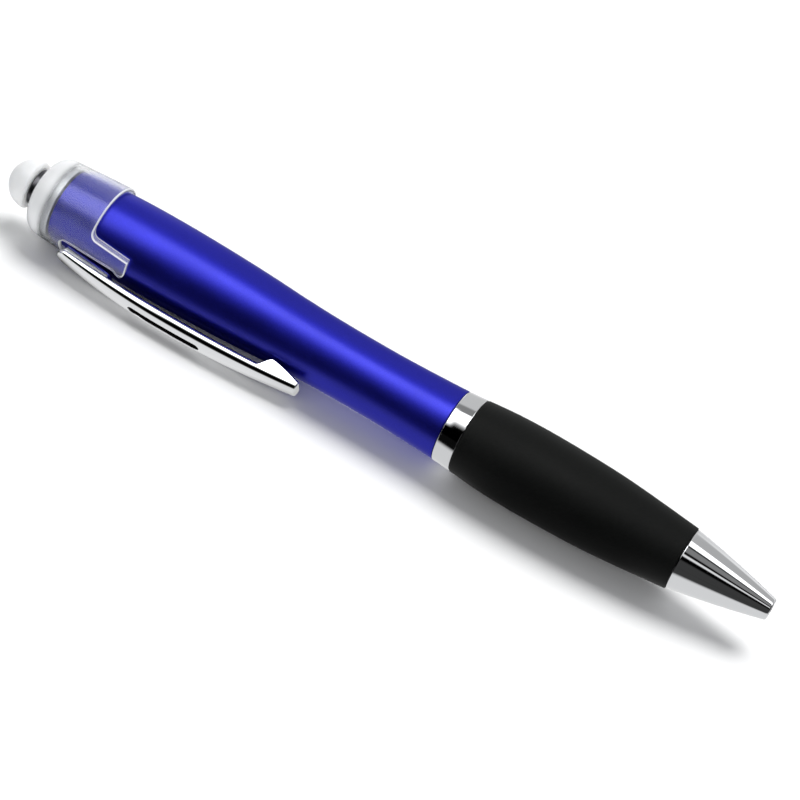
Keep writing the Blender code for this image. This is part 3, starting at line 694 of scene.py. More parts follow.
def make_front_section():
    """Nose, grip and band as turned profiles that run forward outside and back inside."""
    station = np.linspace(NOSE_LENGTH, 0.0, NOSE_STEPS)
    share = station / NOSE_LENGTH
    cone = mixed(NOSE_TIP_R, NOSE_BASE_R, share) + 4 * NOSE_BULGE * share * (1 - share)
    turned("nose_cone", rounded([
        *curve_rows(station, cone, NOSE_EDGE, NOSE_TIP_EDGE),
        (0.0, MOUTH_R, BROKEN), (MOUTH_LENGTH, MOUTH_R, FINE),
        (MOUTH_LENGTH + MOUTH_CONE, POINT_BORE_R, 0.0), (SPRING_SEAT, POINT_BORE_R, FINE),
        (SPRING_SEAT, SPRING_BORE_R, BROKEN), (SPIGOT_END, SPRING_BORE_R, BROKEN),
        (SPIGOT_END, SPIGOT_R, ROUND), (NOSE_LENGTH, SPIGOT_R, BROKEN),
    ]), CHROME, "front_section", "chrome_plate")

    front, rear = GRIP_SPAN
    station = np.linspace(rear, front, GRIP_STEPS)
    turned("rubber_grip", rounded([
        *curve_rows(station, smooth_radius(GRIP_KEYS, station), GRIP_REAR_EDGE, GRIP_FRONT_EDGE),
        (front, GRIP_BORE_R, BROKEN), (rear, GRIP_BORE_R, BROKEN),
    ]), BLACK_RUBBER, "front_section", "black_rubber")

    front, rear = BAND_SPAN
    turned("center_band", rounded([
        (rear, BAND_REAR_R, BAND_EDGE), (front, BAND_FRONT_R, BAND_EDGE),
        (front, BAND_BORE_R, BROKEN), (rear, BAND_BORE_R, BROKEN),
    ]), CHROME, "front_section", "chrome_plate")


# Refill and spring

def make_refill():
    """Point, ball, tube, ink and grease as turned profiles; ink and grease end in hollow menisci."""
    rim = math.acos((BALL_STATION - SOCKET_RIM) / SOCKET_R)
    channel = math.pi - math.asin(INK_CHANNEL_R / SOCKET_R)
    socket = arc_points((BALL_STATION, 0.0), (-SOCKET_R, SOCKET_R), rim, channel, SOCKET_STEPS)
    turned("refill_tip", rounded([
        (POINT_TAIL, INK_R, BROKEN), (POINT_REAR, INK_R, FINE), (POINT_REAR, POINT_R, SOFT),
        (POINT_CONE_END, POINT_R, ROUND), (SOCKET_RIM + SOCKET_WALL, SOCKET_R + SOCKET_WALL, SOCKET_EDGE),
        *curve_rows(*socket.T), (POINT_TAIL, INK_CHANNEL_R, FINE),
    ]), BRASS, "writing_unit", "brass_tip", AROUND_SMALL)

    ball = arc_points((BALL_STATION, 0.0), (-BALL_R, BALL_R), 0.0, math.pi, BALL_STEPS)
    turned("writing_ball", ball, STEEL, "ball", "steel", AROUND_BALL)

    front, rear = TUBE_SPAN
    stop, stop_rear = SPRING_STOP
    turned("refill_tube", rounded([
        (rear, TUBE_R, SOFT), (stop_rear + SPRING_STOP_CONE, TUBE_R, BROKEN),
        (stop_rear, SPRING_STOP_R, BROKEN), (stop, SPRING_STOP_R, BROKEN), (stop, TUBE_R, BROKEN),
        (front, TUBE_R, SOFT), (front, TUBE_BORE_R, BROKEN), (rear, TUBE_BORE_R, BROKEN),
    ]), TUBE_PLASTIC, "writing_unit", "tube_plastic", AROUND_SMALL)

    radius = np.linspace(0.0, INK_R, MENISCUS_STEPS)
    hollow = MENISCUS * (1.0 - (radius / INK_R) ** 2)
    for name, (front, rear), finish, slot in (
        ("ink_column", INK_SPAN, INK, "ink"), ("refill_plug", GREASE_SPAN, GREASE, "grease"),
    ):
        rear_end = np.stack([rear - hollow, radius], axis=1)
        front_end = np.stack([front + hollow, radius], axis=1)[::-1]
        turned(name, np.concatenate([rear_end, front_end]), finish, "writing_unit", slot, AROUND_SMALL)


def make_return_spring():
    """A round wire carried along a helix whose coils lie a little closer at both ends: each ring is the
    helix's point plus the wire's radius along the outward direction and the direction square to it and to
    the path."""
    turns = np.linspace(0.0, 1.0, SPRING_TURNS * COIL_STEPS + 1)
    angle = math.tau * SPRING_TURNS * turns
    first, last = SPRING_SPAN
    station = mixed(first, last, turns - SPRING_CLOSING * np.sin(math.tau * turns))
    path = on_pen(station, SPRING_R * np.cos(angle), SPRING_R * np.sin(angle))
    outwards = unit(on_pen(0.0, np.cos(angle), np.sin(angle)) - NOSE_FACE)
    square = np.cross(unit(np.gradient(path, axis=0)), outwards)
    around = np.linspace(0.0, math.tau, WIRE_STEPS, endpoint=False)[None, :, None]
    from_path = np.cos(around) * outwards[:, None] + np.sin(around) * square[:, None]
    spring = lofted(
        "return_spring_look", path[:, None] + WIRE_R * MM * from_path, STEEL,
        "front_section", "steel", "return_spring",
    )
    seat = on_pen(first - WIRE_R, 0.0, 0.0)
    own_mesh(spring)


# Rear section

def make_rear_section():
    """Barrel, plug, post and dome as turned profiles."""
    front, rear = BARREL_SPAN
    station = np.linspace(rear, front, BARREL_STEPS)
    turned("upper_barrel", rounded([
        *curve_rows(station, smooth_radius(BARREL_KEYS, station), BARREL_EDGE, BARREL_EDGE),
        (front, BARREL_BORE_R, BROKEN), (BORE_STEP[0], BARREL_BORE_R, 0.0),
        (BORE_STEP[1], BARREL_REAR_BORE_R, 0.0), (rear, BARREL_REAR_BORE_R, BROKEN),
    ]), BLUE_LACQUER, "rear_section", "blue_lacquer")

    front, rear = PLUG_FLANGE
    turned("end_plug", rounded([
        (rear, PLUG_FLANGE_R, ROUND), (front, PLUG_FLANGE_R, BROKEN), (front, PLUG_SPIGOT_R, FINE),
        (PLUG_FRONT, PLUG_SPIGOT_R, ROUND), (PLUG_FRONT, POST_HOLE_R, BROKEN), (rear, POST_HOLE_R, BROKEN),
    ]), SATIN_CHROME, "rear_section", "chrome_plate")

    turned("stylus_post", rounded([
        (HEAD[1], 0.0, 0.0), (HEAD[1], HEAD_REAR_R, ROUND), (HEAD[0], HEAD_R, BROKEN),
        (HEAD[0], NECK_R, BROKEN), (COLLAR[1], NECK_R, BROKEN), (COLLAR[1], COLLAR_R, COLLAR_EDGE),
        (COLLAR[0], COLLAR_R, COLLAR_EDGE), (COLLAR[0], POST_R, BROKEN), (POST_FRONT, POST_R, ROUND),
        (POST_FRONT, 0.0, 0.0),
    ]), DARK_METAL, "rear_section", "dark_metal")

    centre = DOME_REAR - DOME_R
    outside = arc_points((centre, 0.0), (DOME_R, DOME_R), 0.0, math.pi / 2, DOME_STEPS)
    under_radii = (centre - DOME_BASE, DOME_R - DOME_BASE_R)
    under = arc_points((centre, DOME_BASE_R), under_radii, math.pi / 2, math.pi, DOME_UNDER_STEPS)[1:]
    hollow_radii = (DOME_HOLLOW_TOP - DOME_HOLLOW_FRONT, DOME_HOLLOW_R)
    inside = arc_points((DOME_HOLLOW_FRONT, 0.0), hollow_radii, 0.0, math.pi / 2, DOME_STEPS)[::-1]
    turned("stylus_dome", rounded([
        *curve_rows(*outside.T), *curve_rows(*under.T, 0.0, FINE),
        (DOME_BASE, DOME_LIP_R, SOFT), (DOME_LIP_REAR, DOME_LIP_R, SOFT),
        (DOME_LIP_REAR, DOME_HOLLOW_R, BROKEN), *curve_rows(*inside.T),
    ]), SILICONE, "rear_section", "silicone")


# Clear cap

def cap_outer(station):
    """Radius of the flaring outside."""
    return CAP_SHOULDER_R + CAP_FLARE * (CAP_SHOULDER - station)


def cap_inner(station):
    """Radius of the flaring inside."""
    return CAP_FLOOR_R + CAP_INNER_FLARE * (CAP_FLOOR - station)


def inner_angle(angle, station):
    """The angle on the inside that faces an angle on the outside: the same distance across the clip as far
    as the lip's fillet, and less and less of that shift further round."""
    size = np.abs(angle)
    fillet_end = math.asin((TONGUE_HALF_WIDTH + LIP_FILLET[0]) / cap_outer(CAP_LIP))
    near = np.minimum(size, fillet_end)
    across = np.clip(cap_outer(station) * np.sin(near) / cap_inner(station), 0.0, FACING_LARGEST_SINE)
    shift = (np.arcsin(across) - near) * (1.0 - rising(size, fillet_end, FACING_ANGLE_END))
    return np.sign(angle) * (size + shift)


def straight(first, last, count):
    """Evenly spaced points on a line, without its last."""
    return np.linspace(first, last, count, endpoint=False)


def cap_edge():
    """One half of the cap's front edge, unrolled as rows of (angle, station): half of the slot's rear end,
    its side, the mouth, the nib, the tongue's end and side, the fillet, and the lip round to the back. The
    points next to a sharp corner are taken out, so that an offset of the edge doesn't fold there."""
    half, rear_half, corner = FOOT_SLOT_HALF_WIDTH, FOOT_SLOT_REAR_HALF, FOOT_SLOT_CORNER
    front, rear = FOOT_SLOT
    corner_radii = (corner, corner)
    nib_centre = (NIB_SIDE, TONGUE_END + NIB_R)
    nib = arc_points(nib_centre, (NIB_R, NIB_R), -math.pi / 2 - NIB_SWEEP, -math.pi / 2, NIB_STEPS)
    nib = np.delete(nib, (1, 2), axis=0)
    turn = math.acos((nib[0, 0] - (half - corner)) / corner)
    front_corner = arc_points((half - corner, front + corner), corner_radii, 0.0, -turn, SLOT_FRONT_STEPS)
    front_corner = np.delete(front_corner, (-3, -2), axis=0)
    rear_centre = (rear_half - corner, rear - corner)
    tongue_front = (TONGUE_HALF_WIDTH - CORNER_CLEARANCE, TONGUE_END)
    tongue_side = (TONGUE_HALF_WIDTH, TONGUE_END + CORNER_CLEARANCE)
    fillet_centre = (TONGUE_HALF_WIDTH + LIP_FILLET[0], CAP_LIP - LIP_FILLET[1])
    fillet = arc_points(fillet_centre, LIP_FILLET, math.pi, math.pi / 2, FILLET_STEPS)
    cut = np.concatenate([
        straight((0.0, rear), (rear_half - corner, rear), SLOT_END_STEPS),
        arc_points(rear_centre, corner_radii, math.pi / 2, 0.0, SLOT_REAR_STEPS)[:-1],
        straight((rear_half, rear - corner), (half, front + corner), SLOT_SIDE_STEPS),
        front_corner,
        nib[:-1],
        straight(nib[-1], tongue_front, TONGUE_END_STEPS),
        [tongue_front, (TONGUE_HALF_WIDTH, TONGUE_END)],
        straight(tongue_side, fillet[0], TONGUE_SIDE_STEPS),
        fillet,
    ])
    angle = np.arcsin(cut[:, 0] / cap_outer(cut[:, 1]))
    lip = straight((angle[-1], CAP_LIP), (math.pi, CAP_LIP), LIP_STEPS)[1:]
    return np.concatenate([np.stack([angle, cut[:, 1]], axis=1), lip, [(math.pi, CAP_LIP)]])


def across_path(path):
    """Directions to the left of a path, lengthened at its corners so that an offset keeps its distance."""
    step = unit(np.diff(path, axis=0))
    before = np.concatenate([step[:1], step])
    after = np.concatenate([step, step[-1:]])
    left = unit(np.stack([-before[:, 1] - after[:, 1], before[:, 0] + after[:, 0]], axis=1))
    turn = np.sum(left * np.stack([-before[:, 1], before[:, 0]], axis=1), axis=1, keepdims=True)
    return left / np.maximum(turn, LEAST_TURN)


def inside_outline(points, outline):
    """Which points lie inside a closed outline: those with an odd number of its sides beside them."""
    following = np.roll(outline, -1, axis=0)
    level = points[:, 1:]
    crosses = (outline[:, 1] > level) != (following[:, 1] > level)
    rise = following[:, 1] - outline[:, 1]
    rise = np.where(np.abs(rise) < TINY, TINY, rise)
    at = outline[:, 0] + (level - outline[:, 1]) * (following[:, 0] - outline[:, 0]) / rise
    return np.sum(crosses & (points[:, :1] < at), axis=1) % 2 == 1


def on_cap(angle, station, radius):
    """A point of the cap at an angle round the axis from the clip."""
    return on_pen(station, radius * np.cos(angle), radius * np.sin(angle))


def rim_section(radius):
    """Rows of distances from the cap's edge, inwards and through the wall: flat, then a quarter round."""
    turn = np.linspace(0.0, math.pi / 2, RIM_STEPS)[:, None]
    inwards = np.concatenate([np.full((1, len(radius)), RIM_WIDTH), radius * (1 - np.sin(turn))])
    through = np.concatenate([np.zeros((1, len(radius))), radius * (1 - np.cos(turn))])
    return inwards, through


def cap_rim(edge):
    """The wall's rounded section carried along the front edge, as rows from outside over the edge to inside,
    and the unrolled line behind it where the sheets start."""
    unrolled = edge * (UNROLL_R, 1.0)
    left = across_path(unrolled)
    to_lip = rising(np.abs(edge[:, 0]), *LIP_ROUND_ANGLE) * rising(edge[:, 1], *LIP_ROUND_SPAN)
    to_slot = rising(np.abs(unrolled[:, 0]), *SLOT_ROUND_SIDE) * rising(edge[:, 1], *SLOT_ROUND_SPAN)
    outer_round = TONGUE_ROUND + (LIP_ROUND - TONGUE_ROUND) * to_lip + (SLOT_ROUND - TONGUE_ROUND) * to_slot

    inwards, through = rim_section(outer_round)
    across, station = np.moveaxis(unrolled + left * inwards[..., None], -1, 0)
    outer_rim = on_cap(across / UNROLL_R, station, cap_outer(station) - through)
    inwards, through = rim_section(np.full(len(edge), INNER_ROUND))
    across, station = np.moveaxis(unrolled + left * inwards[::-1, :, None], -1, 0)
    facing = inner_angle(across / UNROLL_R, station)
    inner_rim = on_cap(facing, station, cap_inner(station) + through[::-1])
    wall = mixed(outer_rim[-1], inner_rim[0], np.array(WALL_ROWS)[:, None, None])
    return np.concatenate([outer_rim, wall, inner_rim]), unrolled + left * RIM_WIDTH


def cap_sheets(start):
    """The outside and the inside behind the rim, triangulated once on the unrolled outside."""
    back = math.pi * UNROLL_R
    rear_edge = np.stack([CAP_ANGLES * UNROLL_R, np.full(len(CAP_ANGLES), CAP_JOIN)], axis=1)[::-1]
    rises = np.linspace(start[-1, 1], CAP_JOIN, SHEET_SIDE_STEPS)[1:-1]
    right_side = np.stack([np.full(len(rises), back), rises], axis=1)
    left_side = (right_side * (-1.0, 1.0))[::-1]
    outline = np.concatenate([start, right_side, rear_edge, left_side])
    across, along = np.meshgrid(
        np.arange(-back, back, SHEET_SPACING[0]), np.arange(TONGUE_END, CAP_JOIN, SHEET_SPACING[1]),
    )
    filling = np.stack([across.ravel(), along.ravel()], axis=1)
    filling = filling[inside_outline(filling, outline)]
    nearest = np.min(np.linalg.norm(filling[:, None] - outline[None], axis=2), axis=1)
    spots = np.concatenate([outline, filling[nearest > SHEET_CLEARANCE]])
    flat, _, triangles, _, _, _ = delaunay_2d_cdt(
        [Vector(spot) for spot in spots], [], [list(range(len(outline)))], FILL_INSIDE, FLAT_MERGE,
    )
    across, station = np.array([tuple(spot) for spot in flat]).T
    angle = across / UNROLL_R
    outer_sheet = on_cap(angle, station, cap_outer(station))
    inner_sheet = on_cap(inner_angle(angle, station), station, cap_inner(station))
    return outer_sheet, inner_sheet, np.array(triangles)


def cap_end():
    """The turned end, from the outer sheet round the shoulder and the post's hole to the inner sheet."""
    shoulder_radii = (CAP_REAR - CAP_SHOULDER, CAP_SHOULDER_R - CAP_REAR_FLAT_R)
    shoulder = arc_points((CAP_SHOULDER, CAP_REAR_FLAT_R), shoulder_radii, math.pi / 2, 0.0, SHOULDER_STEPS)
    joins = np.linspace(CAP_JOIN, CAP_SHOULDER, CAP_END_STEPS, endpoint=False)
    hole = [(CAP_REAR, POST_HOLE_R), (CAP_FLOOR, POST_HOLE_R)]
    outside = np.concatenate([np.stack([joins, cap_outer(joins)], axis=1), shoulder, hole])
    inside = np.linspace(CAP_FLOOR, CAP_JOIN, CAP_END_STEPS)[:, None]
    facing = inner_angle(CAP_ANGLES, CAP_JOIN)
    return np.concatenate([
        on_cap(CAP_ANGLES, outside[:, :1], outside[:, 1:]), on_cap(facing, inside, cap_inner(inside)),
    ])


def make_clear_cap():
    """The cap in joined parts: a rim along its front edge, a sheet outside and one inside behind the rim,
    and the turned end. Its edges and its thick end are frosted, and its inside is painted with the barrel's
    blue bounce light."""
    half_edge = cap_edge()
    edge = np.concatenate([half_edge[:0:-1] * (-1.0, 1.0), half_edge])
    rim, start = cap_rim(edge)
    outer_sheet, inner_sheet, triangles = cap_sheets(start)
    end = cap_end()
    points = np.concatenate([rim.reshape(-1, 3), outer_sheet, inner_sheet, end.reshape(-1, 3)])
    outer_start, inner_start, end_start = np.cumsum([rim.size // 3, len(outer_sheet), len(inner_sheet)])
    faces = [
        grid_quads(*rim.shape[:2]), outer_start + triangles, inner_start + triangles[:, ::-1],
        end_start + grid_quads(*end.shape[:2]),
    ]
    cap = new_piece(
        "clear_cap_look", points, faces, CLEAR_PLASTIC, "rear_section", "clear_plastic", "clear_cap",
    )

    on_rim = np.full(rim.shape[:2], WALL_FROST)
    on_rim[:RIM_STEPS + 1] = EDGE_FROST
    on_rim[-RIM_STEPS - 1:] = EDGE_FROST
    on_rim[:CLEAR_ROWS] = 0.0
    on_rim[-CLEAR_ROWS:] = 0.0
    frost = rising((NOSE_FACE[0] - points[:, 0]) / MM, *FROST_SPAN)
    frost[:outer_start] = on_rim.ravel()
    # The inner rim rows and the inner sheet get painted blue bounce light from the barrel.
    painted_barrel_bounce = np.zeros(len(points))
    painted_barrel_bounce[outer_start - len(edge):outer_start] = 1.0
    painted_barrel_bounce[inner_start:end_start] = 1.0
    set_attribute(cap, "frost", frost)
    set_attribute(cap, "painted_barrel_bounce", painted_barrel_bounce)

    shell = bmesh.new()
    shell.from_mesh(cap.data)
    bmesh.ops.remove_doubles(shell, verts=shell.verts, dist=SEAM_MERGE * MM)
    bmesh.ops.recalc_face_normals(shell, faces=shell.faces)
    shell.to_mesh(cap.data)
    shell.free()
    even_normals(cap)


# Clip

def towards_ends(station, drops):
    """A drop that grows with the square of the distance from the clip's middle, to (root, tip) values."""
    to_root = np.clip((station - CLIP_MIDDLE) / (CLIP_ROOT - CLIP_MIDDLE), 0.0, None)
    to_tip = np.clip((CLIP_MIDDLE - station) / (CLIP_MIDDLE - CLIP_TIP), 0.0, None)
    return drops[0] * to_root ** 2 + drops[1] * to_tip ** 2


def in_crown_slot(station, side):
    """1 inside the crown's round-ended slot and 0 outside, with a steep smooth wall between."""
    middle = (CROWN_SLOT[0] + CROWN_SLOT[1]) / 2
    straight_half = (CROWN_SLOT[1] - CROWN_SLOT[0]) / 2 - CROWN_SLOT_HALF_WIDTH
    past_end = np.maximum(np.abs(station - middle) - straight_half, 0.0)
    distance = np.hypot(past_end, side) - CROWN_SLOT_HALF_WIDTH
    return rising(distance, SLOT_WALL, -SLOT_WALL)


def in_sections(out, side):
    """A point of each section, from columns of out and side."""
    return np.concatenate([out, side], axis=1)


def clip_grid(station):
    """The clip's sections as grids of out, side and painted slot shade, a row for each station: a gently
    arched crown whose slot is painted black as its shade, rounded edges, straight sides and a flat
    underside that swells into the catch."""
    station = station[:, None]
    half = CLIP_HALF_WIDTH - towards_ends(station, CLIP_NARROWING)
    into_root = np.clip((station - (CLIP_ROOT - ROOT_ROUNDING)) / ROOT_ROUNDING, 0.0, 1.0)
    half = half * np.sqrt(1.0 - ROOT_LOSS * into_root ** 2)
    crown = CROWN_OUT - towards_ends(station, CROWN_DROPS)
    centre = crown - CROWN_ARC_R
    shoulder = centre + np.sqrt(CROWN_ARC_R ** 2 - half ** 2)

    under = UNDER_OUT - towards_ends(station, UNDER_DROPS)
    peak = smooth_radius(BARREL_KEYS, np.array(CATCH_PEAK)) + CATCH_CLEARANCE
    rise = rising(station, CATCH_START, CATCH_PEAK)
    to_tip = np.clip((CATCH_PEAK - station) / (CATCH_PEAK - CLIP_TIP), 0.0, 1.0)
    tail = peak + TAIL_RISE * to_tip ** TAIL_CURVE
    under = np.where(station < CATCH_PEAK, tail, mixed(under, peak, rise))

    edge = np.minimum(CROWN_EDGE, CROWN_EDGE_SHARE * (shoulder - under))
    soft = mixed(INNER_EDGE, CATCH_EDGE, rise) + (TAIL_EDGE - CATCH_EDGE) * to_tip
    soft = np.minimum(soft, INNER_EDGE_SHARE * (shoulder - under))
    across = np.concatenate([np.linspace(*columns) for columns in CROWN_COLUMNS])
    across = np.concatenate([-across[:0:-1], across])
    crown_end = CROWN_ARC_R * np.sin(np.arcsin(half / CROWN_ARC_R) - edge / CROWN_ARC_R)
    crown_side = across * crown_end
    crown_out = centre + np.sqrt(CROWN_ARC_R ** 2 - crown_side ** 2)
    sunk = in_crown_slot(station, crown_side)
    crown_out = mixed(crown_out, CROWN_SLOT_FLOOR, sunk)

    crown_corner = round_corner(
        in_sections(crown_out[:, -1:], crown_end), in_sections(shoulder, half),
        in_sections(shoulder - edge, half), CROWN_EDGE_STEPS,
    )[:, 1:]
    inner_corner = round_corner(
        in_sections(under + soft, half), in_sections(under, half),
        in_sections(under, half - soft), INNER_EDGE_STEPS,
    )
    flat_side = (half - soft) * np.linspace(1.0, -1.0, UNDERSIDE_STEPS)[1:-1]
    flat_out = under + np.zeros_like(flat_side)
    out = np.concatenate([
        crown_out, crown_corner[..., 0], inner_corner[..., 0], flat_out,
        inner_corner[:, ::-1, 0], crown_corner[:, ::-1, 0],
    ], axis=1)
    side = np.concatenate([
        crown_side, crown_corner[..., 1], inner_corner[..., 1], flat_side,
        -inner_corner[:, ::-1, 1], -crown_corner[:, ::-1, 1],
    ], axis=1)
    # The slot's floor and walls are painted black almost to their top edge, as painted shade of the deep
    # slot.
    slot_shade_mask = np.zeros_like(out)
    slot_shade_mask[:, :crown_side.shape[1]] = np.minimum(sunk / SLOT_SHADE_FROM, 1.0)
    return out, side, slot_shade_mask


def make_clip_bar():
    """The clip's sections lofted along the pen, drawn in at both ends by a small rounding."""
    lead = CLIP_END_EDGE * (1.0 - np.cos(np.linspace(0.0, math.pi / 2, CLIP_END_STEPS)))[:-1]
    into_root = np.sin(np.linspace(0.0, math.pi / 2, CLIP_ROOT_STEPS))[1:]
    station = np.concatenate([
        CLIP_TIP + lead, *[np.linspace(*rows) for rows in CLIP_ROWS],
        mixed(CLIP_ROOT - ROOT_ROUNDING, CLIP_ROOT - CLIP_END_EDGE, into_root), CLIP_ROOT - lead[::-1],
    ])
    out, side, slot_shade_mask = clip_grid(station)
    from_end = np.minimum(np.minimum(station - CLIP_TIP, CLIP_ROOT - station) / CLIP_END_EDGE, 1.0)
    drawn_in = CLIP_END_EDGE * (1.0 - np.sqrt(1.0 - (1.0 - from_end) ** 2))[:, None]
    middle = (out.max(axis=1) + out.min(axis=1))[:, None] / 2
    reach = np.hypot(out - middle, side)
    shrink = 1.0 - drawn_in / np.maximum(reach, drawn_in + LEAST_REACH)
    rings = on_pen(station[:, None], mixed(middle, out, shrink), side * shrink)
    bar = lofted("clip_look", rings, CLIP_CHROME, "clip_bar", "chrome_plate", "clip")
    # The slot's painted shade rides on the mesh as an attribute.
    set_attribute(bar, "painted_slot_shade", slot_shade_mask)
    even_normals(bar)


def make_clip_foot():
    """A rounded outline carried up into the bar from its rounded lower edge, which falls to the rear."""
    front, rear = FOOT
    corner = FOOT_CORNER
    beside, first, last = FOOT_HALF_WIDTH - corner, front + corner, rear - corner
    centres = ((beside, last), (-beside, last), (-beside, first), (beside, first))
    outline = np.concatenate([
        arc_points(centre, (corner, corner), turn * math.pi / 2, (turn + 1) * math.pi / 2, FOOT_STEPS)
        for turn, centre in enumerate(centres)
    ])
    quarter = np.linspace(0.0, math.pi / 2, FOOT_STEPS)
    inset = np.concatenate([[0.0], FOOT_DRAFT + FOOT_EDGE * (1.0 - np.cos(quarter))])
    height = np.concatenate([[FOOT_TOP], FOOT_UNDER + FOOT_EDGE * (1.0 - np.sin(quarter))])
    middle = np.array((0.0, (front + rear) / 2))
    reach = np.array((FOOT_HALF_WIDTH, (rear - front) / 2))
    side, station = np.moveaxis(mixed(middle, outline, 1.0 - inset[:, None, None] / reach), -1, 0)
    to_rear = (station - front) / (rear - front)
    drop = FOOT_REAR_DROP * to_rear * (height < FOOT_TOP)[:, None]
    rings = on_pen(station, height[:, None] - drop, side)
    even_normals(lofted("clip_foot_look", rings, CHROME, "clip_bar", "chrome_plate"))


# Hidden nodes that keep their CAD shape

def dress_hidden_nodes():
    """The pieces of the mechanism keep their meshes and get the finishes of their slots."""
    finishes = {
        "grip_core": BLACK_ACETAL, "guide_tube": WHITE_ACETAL, "cam_sleeve": WHITE_ACETAL,
        "retaining_ring": STEEL, "cam_follower": BLACK_ACETAL, "follower_pin": STEEL,
    }
    for name, finish in finishes.items():
        node = frame["nodes"][name]
        node.data.materials.clear()
        node.data.materials.append(finish)


# Camera, with its distances in millimetres

CAMERA_ELEVATION = math.radians(33.5)
CAMERA_TO_NOSE = math.radians(10.8)
CAMERA_ROLL = math.radians(30.0)
CAMERA_DISTANCE = 408.0
CAMERA_STATION = 65.1
CAMERA_SHIFT = (0.255, 0.495)
FOCAL_PIXELS = 2640.0
PHOTO_PIXELS = 800.0
SENSOR = 36.0
NEAREST_METRES = 0.01


def make_camera():
    """Looks at the axis from the clip's side, a little from the nose, and rolled: the pen runs downhill."""
    to_nose = -TO_REAR
    to_viewer = np.array((0.0, -math.cos(CAMERA_ELEVATION), math.sin(CAMERA_ELEVATION)))
    down = np.array((0.0, -math.sin(CAMERA_ELEVATION), -math.cos(CAMERA_ELEVATION)))
    backward = math.cos(CAMERA_TO_NOSE) * to_viewer + math.sin(CAMERA_TO_NOSE) * to_nose
    along = math.cos(CAMERA_TO_NOSE) * to_nose - math.sin(CAMERA_TO_NOSE) * to_viewer
    right = math.cos(CAMERA_ROLL) * along - math.sin(CAMERA_ROLL) * down
    up = -math.sin(CAMERA_ROLL) * along - math.cos(CAMERA_ROLL) * down
    place = on_pen(CAMERA_STATION, 0.0, 0.0) + MM * (
        CAMERA_DISTANCE * backward - CAMERA_SHIFT[0] * right - CAMERA_SHIFT[1] * up
    )
    data = bpy.data.cameras.new("camera")
    data.sensor_width = SENSOR
    data.lens = FOCAL_PIXELS / PHOTO_PIXELS * SENSOR
    data.clip_start = NEAREST_METRES
    camera = add_object("camera", data)
    placing = np.eye(4)
    placing[:3] = np.stack([right, up, backward, place], axis=1)
    camera.matrix_world = Matrix(placing.tolist())
    bpy.context.scene.camera = camera


# Stage, with lengths in metres except across the floor's strips

FLOOR_HALF = 3.0
FLOOR_COLOUR = (0.95, 0.95, 0.95)
ONE_FACE = np.array([(0, 1, 2, 3)])
TENT_R = 0.7
TENT_HALF_LENGTH = 1.2
TENT_ELEVATIONS = (-2.0, 182.0, 369)
TENT_STEPS = 121
TENT_TO_NOSE = (0.05, 0.17)
TENT_TO_CAP = (-0.22, -0.29)
TENT_END = 0.02

# Strips of light over the pen

SOFT_BOX = (57.0, 32.0, 83.0, 9.0, 5.2)
BOX_SKIRT = (39.0, 9.0, 52.0, 9.0, 0.3)
GREY_CEILING = (82.0, 9.0, 108.0, 9.0, 0.27)
BACK_SHEET = (108.0, 9.0, 200.0, 9.0, 0.66)
CAP_BOX = (36.0, 22.0, 88.0, 9.0, 2.7)
CAP_BACK = (142.0, 30.0, 200.0, 9.0, 0.85)
NOSE_FRONT = (-20.0, 5.0, 28.0, 8.0, 0.05)
NOSE_LINE = (43.0, 5.0, 51.0, 4.0, 0.9)
NOSE_CEILING = (60.0, 5.0, 80.0, 6.0, 0.25)
NOSE_STRIP = (87.0, 6.0, 106.0, 6.0, 2.4)
NOSE_SHEET = (106.0, 6.0, 200.0, 6.0, 0.52)
NOSE_BACK = (154.0, 12.0, 200.0, 6.0, 0.5)

# Strips of the floor in gloss, and how they change along the pen

PALE_FRONT = (-18.0, 9.0, 4000.0, 9.0, 0.78)
PALE_FRONT_REAR = (-15.0, 7.0, -5.0, 3.0, 0.93)
PALE_SHADE = (-4000.0, 9.0, 4000.0, 9.0, 0.004)
PALE_BACK = (9.0, 5.0, 4000.0, 9.0, 0.75)
GLOSS_ROWS = (-40.0, 20.0, 121)
GLOSS_COLUMNS = (-0.02, 0.1, 61)
CLIP_SIDE_CHANGE = (-0.006, -0.018)
GRIP_SHADE = 0.65
GRIP_SHADE_REAR = (0.017, 0.023)
GRIP_SHADE_FRONT = (0.052, 0.046)
END_SHADE = 0.95
END_SHADE_SPAN = (0.08, 0.09)
NOSE_LIFT = 0.046
NOSE_LIFT_SPAN = (0.025, 0.045)

# Suns and world

KEY_STRENGTH = 2.8
KEY_FROM = (0.05, 0.42, 1.0)
KEY_ANGLE = math.radians(42.0)
FILL_STRENGTH = 1.1
FILL_FROM = (0.1, -1.0, 0.25)
FILL_ANGLE = math.radians(70.0)
AMBIENT = 0.3
AMBIENT_COLOUR = (0.95, 0.97, 1.0, 1.0)
WHITE = (1.0, 1.0, 1.0, 1.0)


def new_stage(name, points, faces, material):
    """A stage mesh, which isn't part of the pen."""
    stage = add_mesh(name, points, [faces], material)
    return stage


def shown_by_gloss(name, points, faces, glow, material):
    """A stage mesh with a glow for each point, seen in gloss and through clear plastic only."""
    stage = new_stage(name, points, faces, material)
    set_attribute(stage, "glow", glow)
    stage.visible_camera = False
    stage.visible_diffuse = False
    stage.visible_shadow = False
    return stage


def make_floor():
    """A pale plain floor that keeps the pen's shadow. Gloss shows another one."""
    pale = new_finish("pale_floor", FLOOR_COLOUR, Roughness=1.0, Specular_IOR_Level=0.0)
    h = FLOOR_HALF
    corners = [(-h, -h, 0.0), (h, -h, 0.0), (h, h, 0.0), (-h, h, 0.0)]
    floor = new_stage("floor", corners, ONE_FACE, pale)
    floor.visible_glossy = False


def make_glow():
    """Light as strong as a mesh's glow attribute."""
    material = bpy.data.materials.new("tent_glow")
    material.use_nodes = True
    material.node_tree.nodes.clear()
    light = add_node(material, "Emission", Strength=painted(material, "glow"))
    add_node(material, "OutputMaterial", Surface=light.outputs["Emission"])
    return material


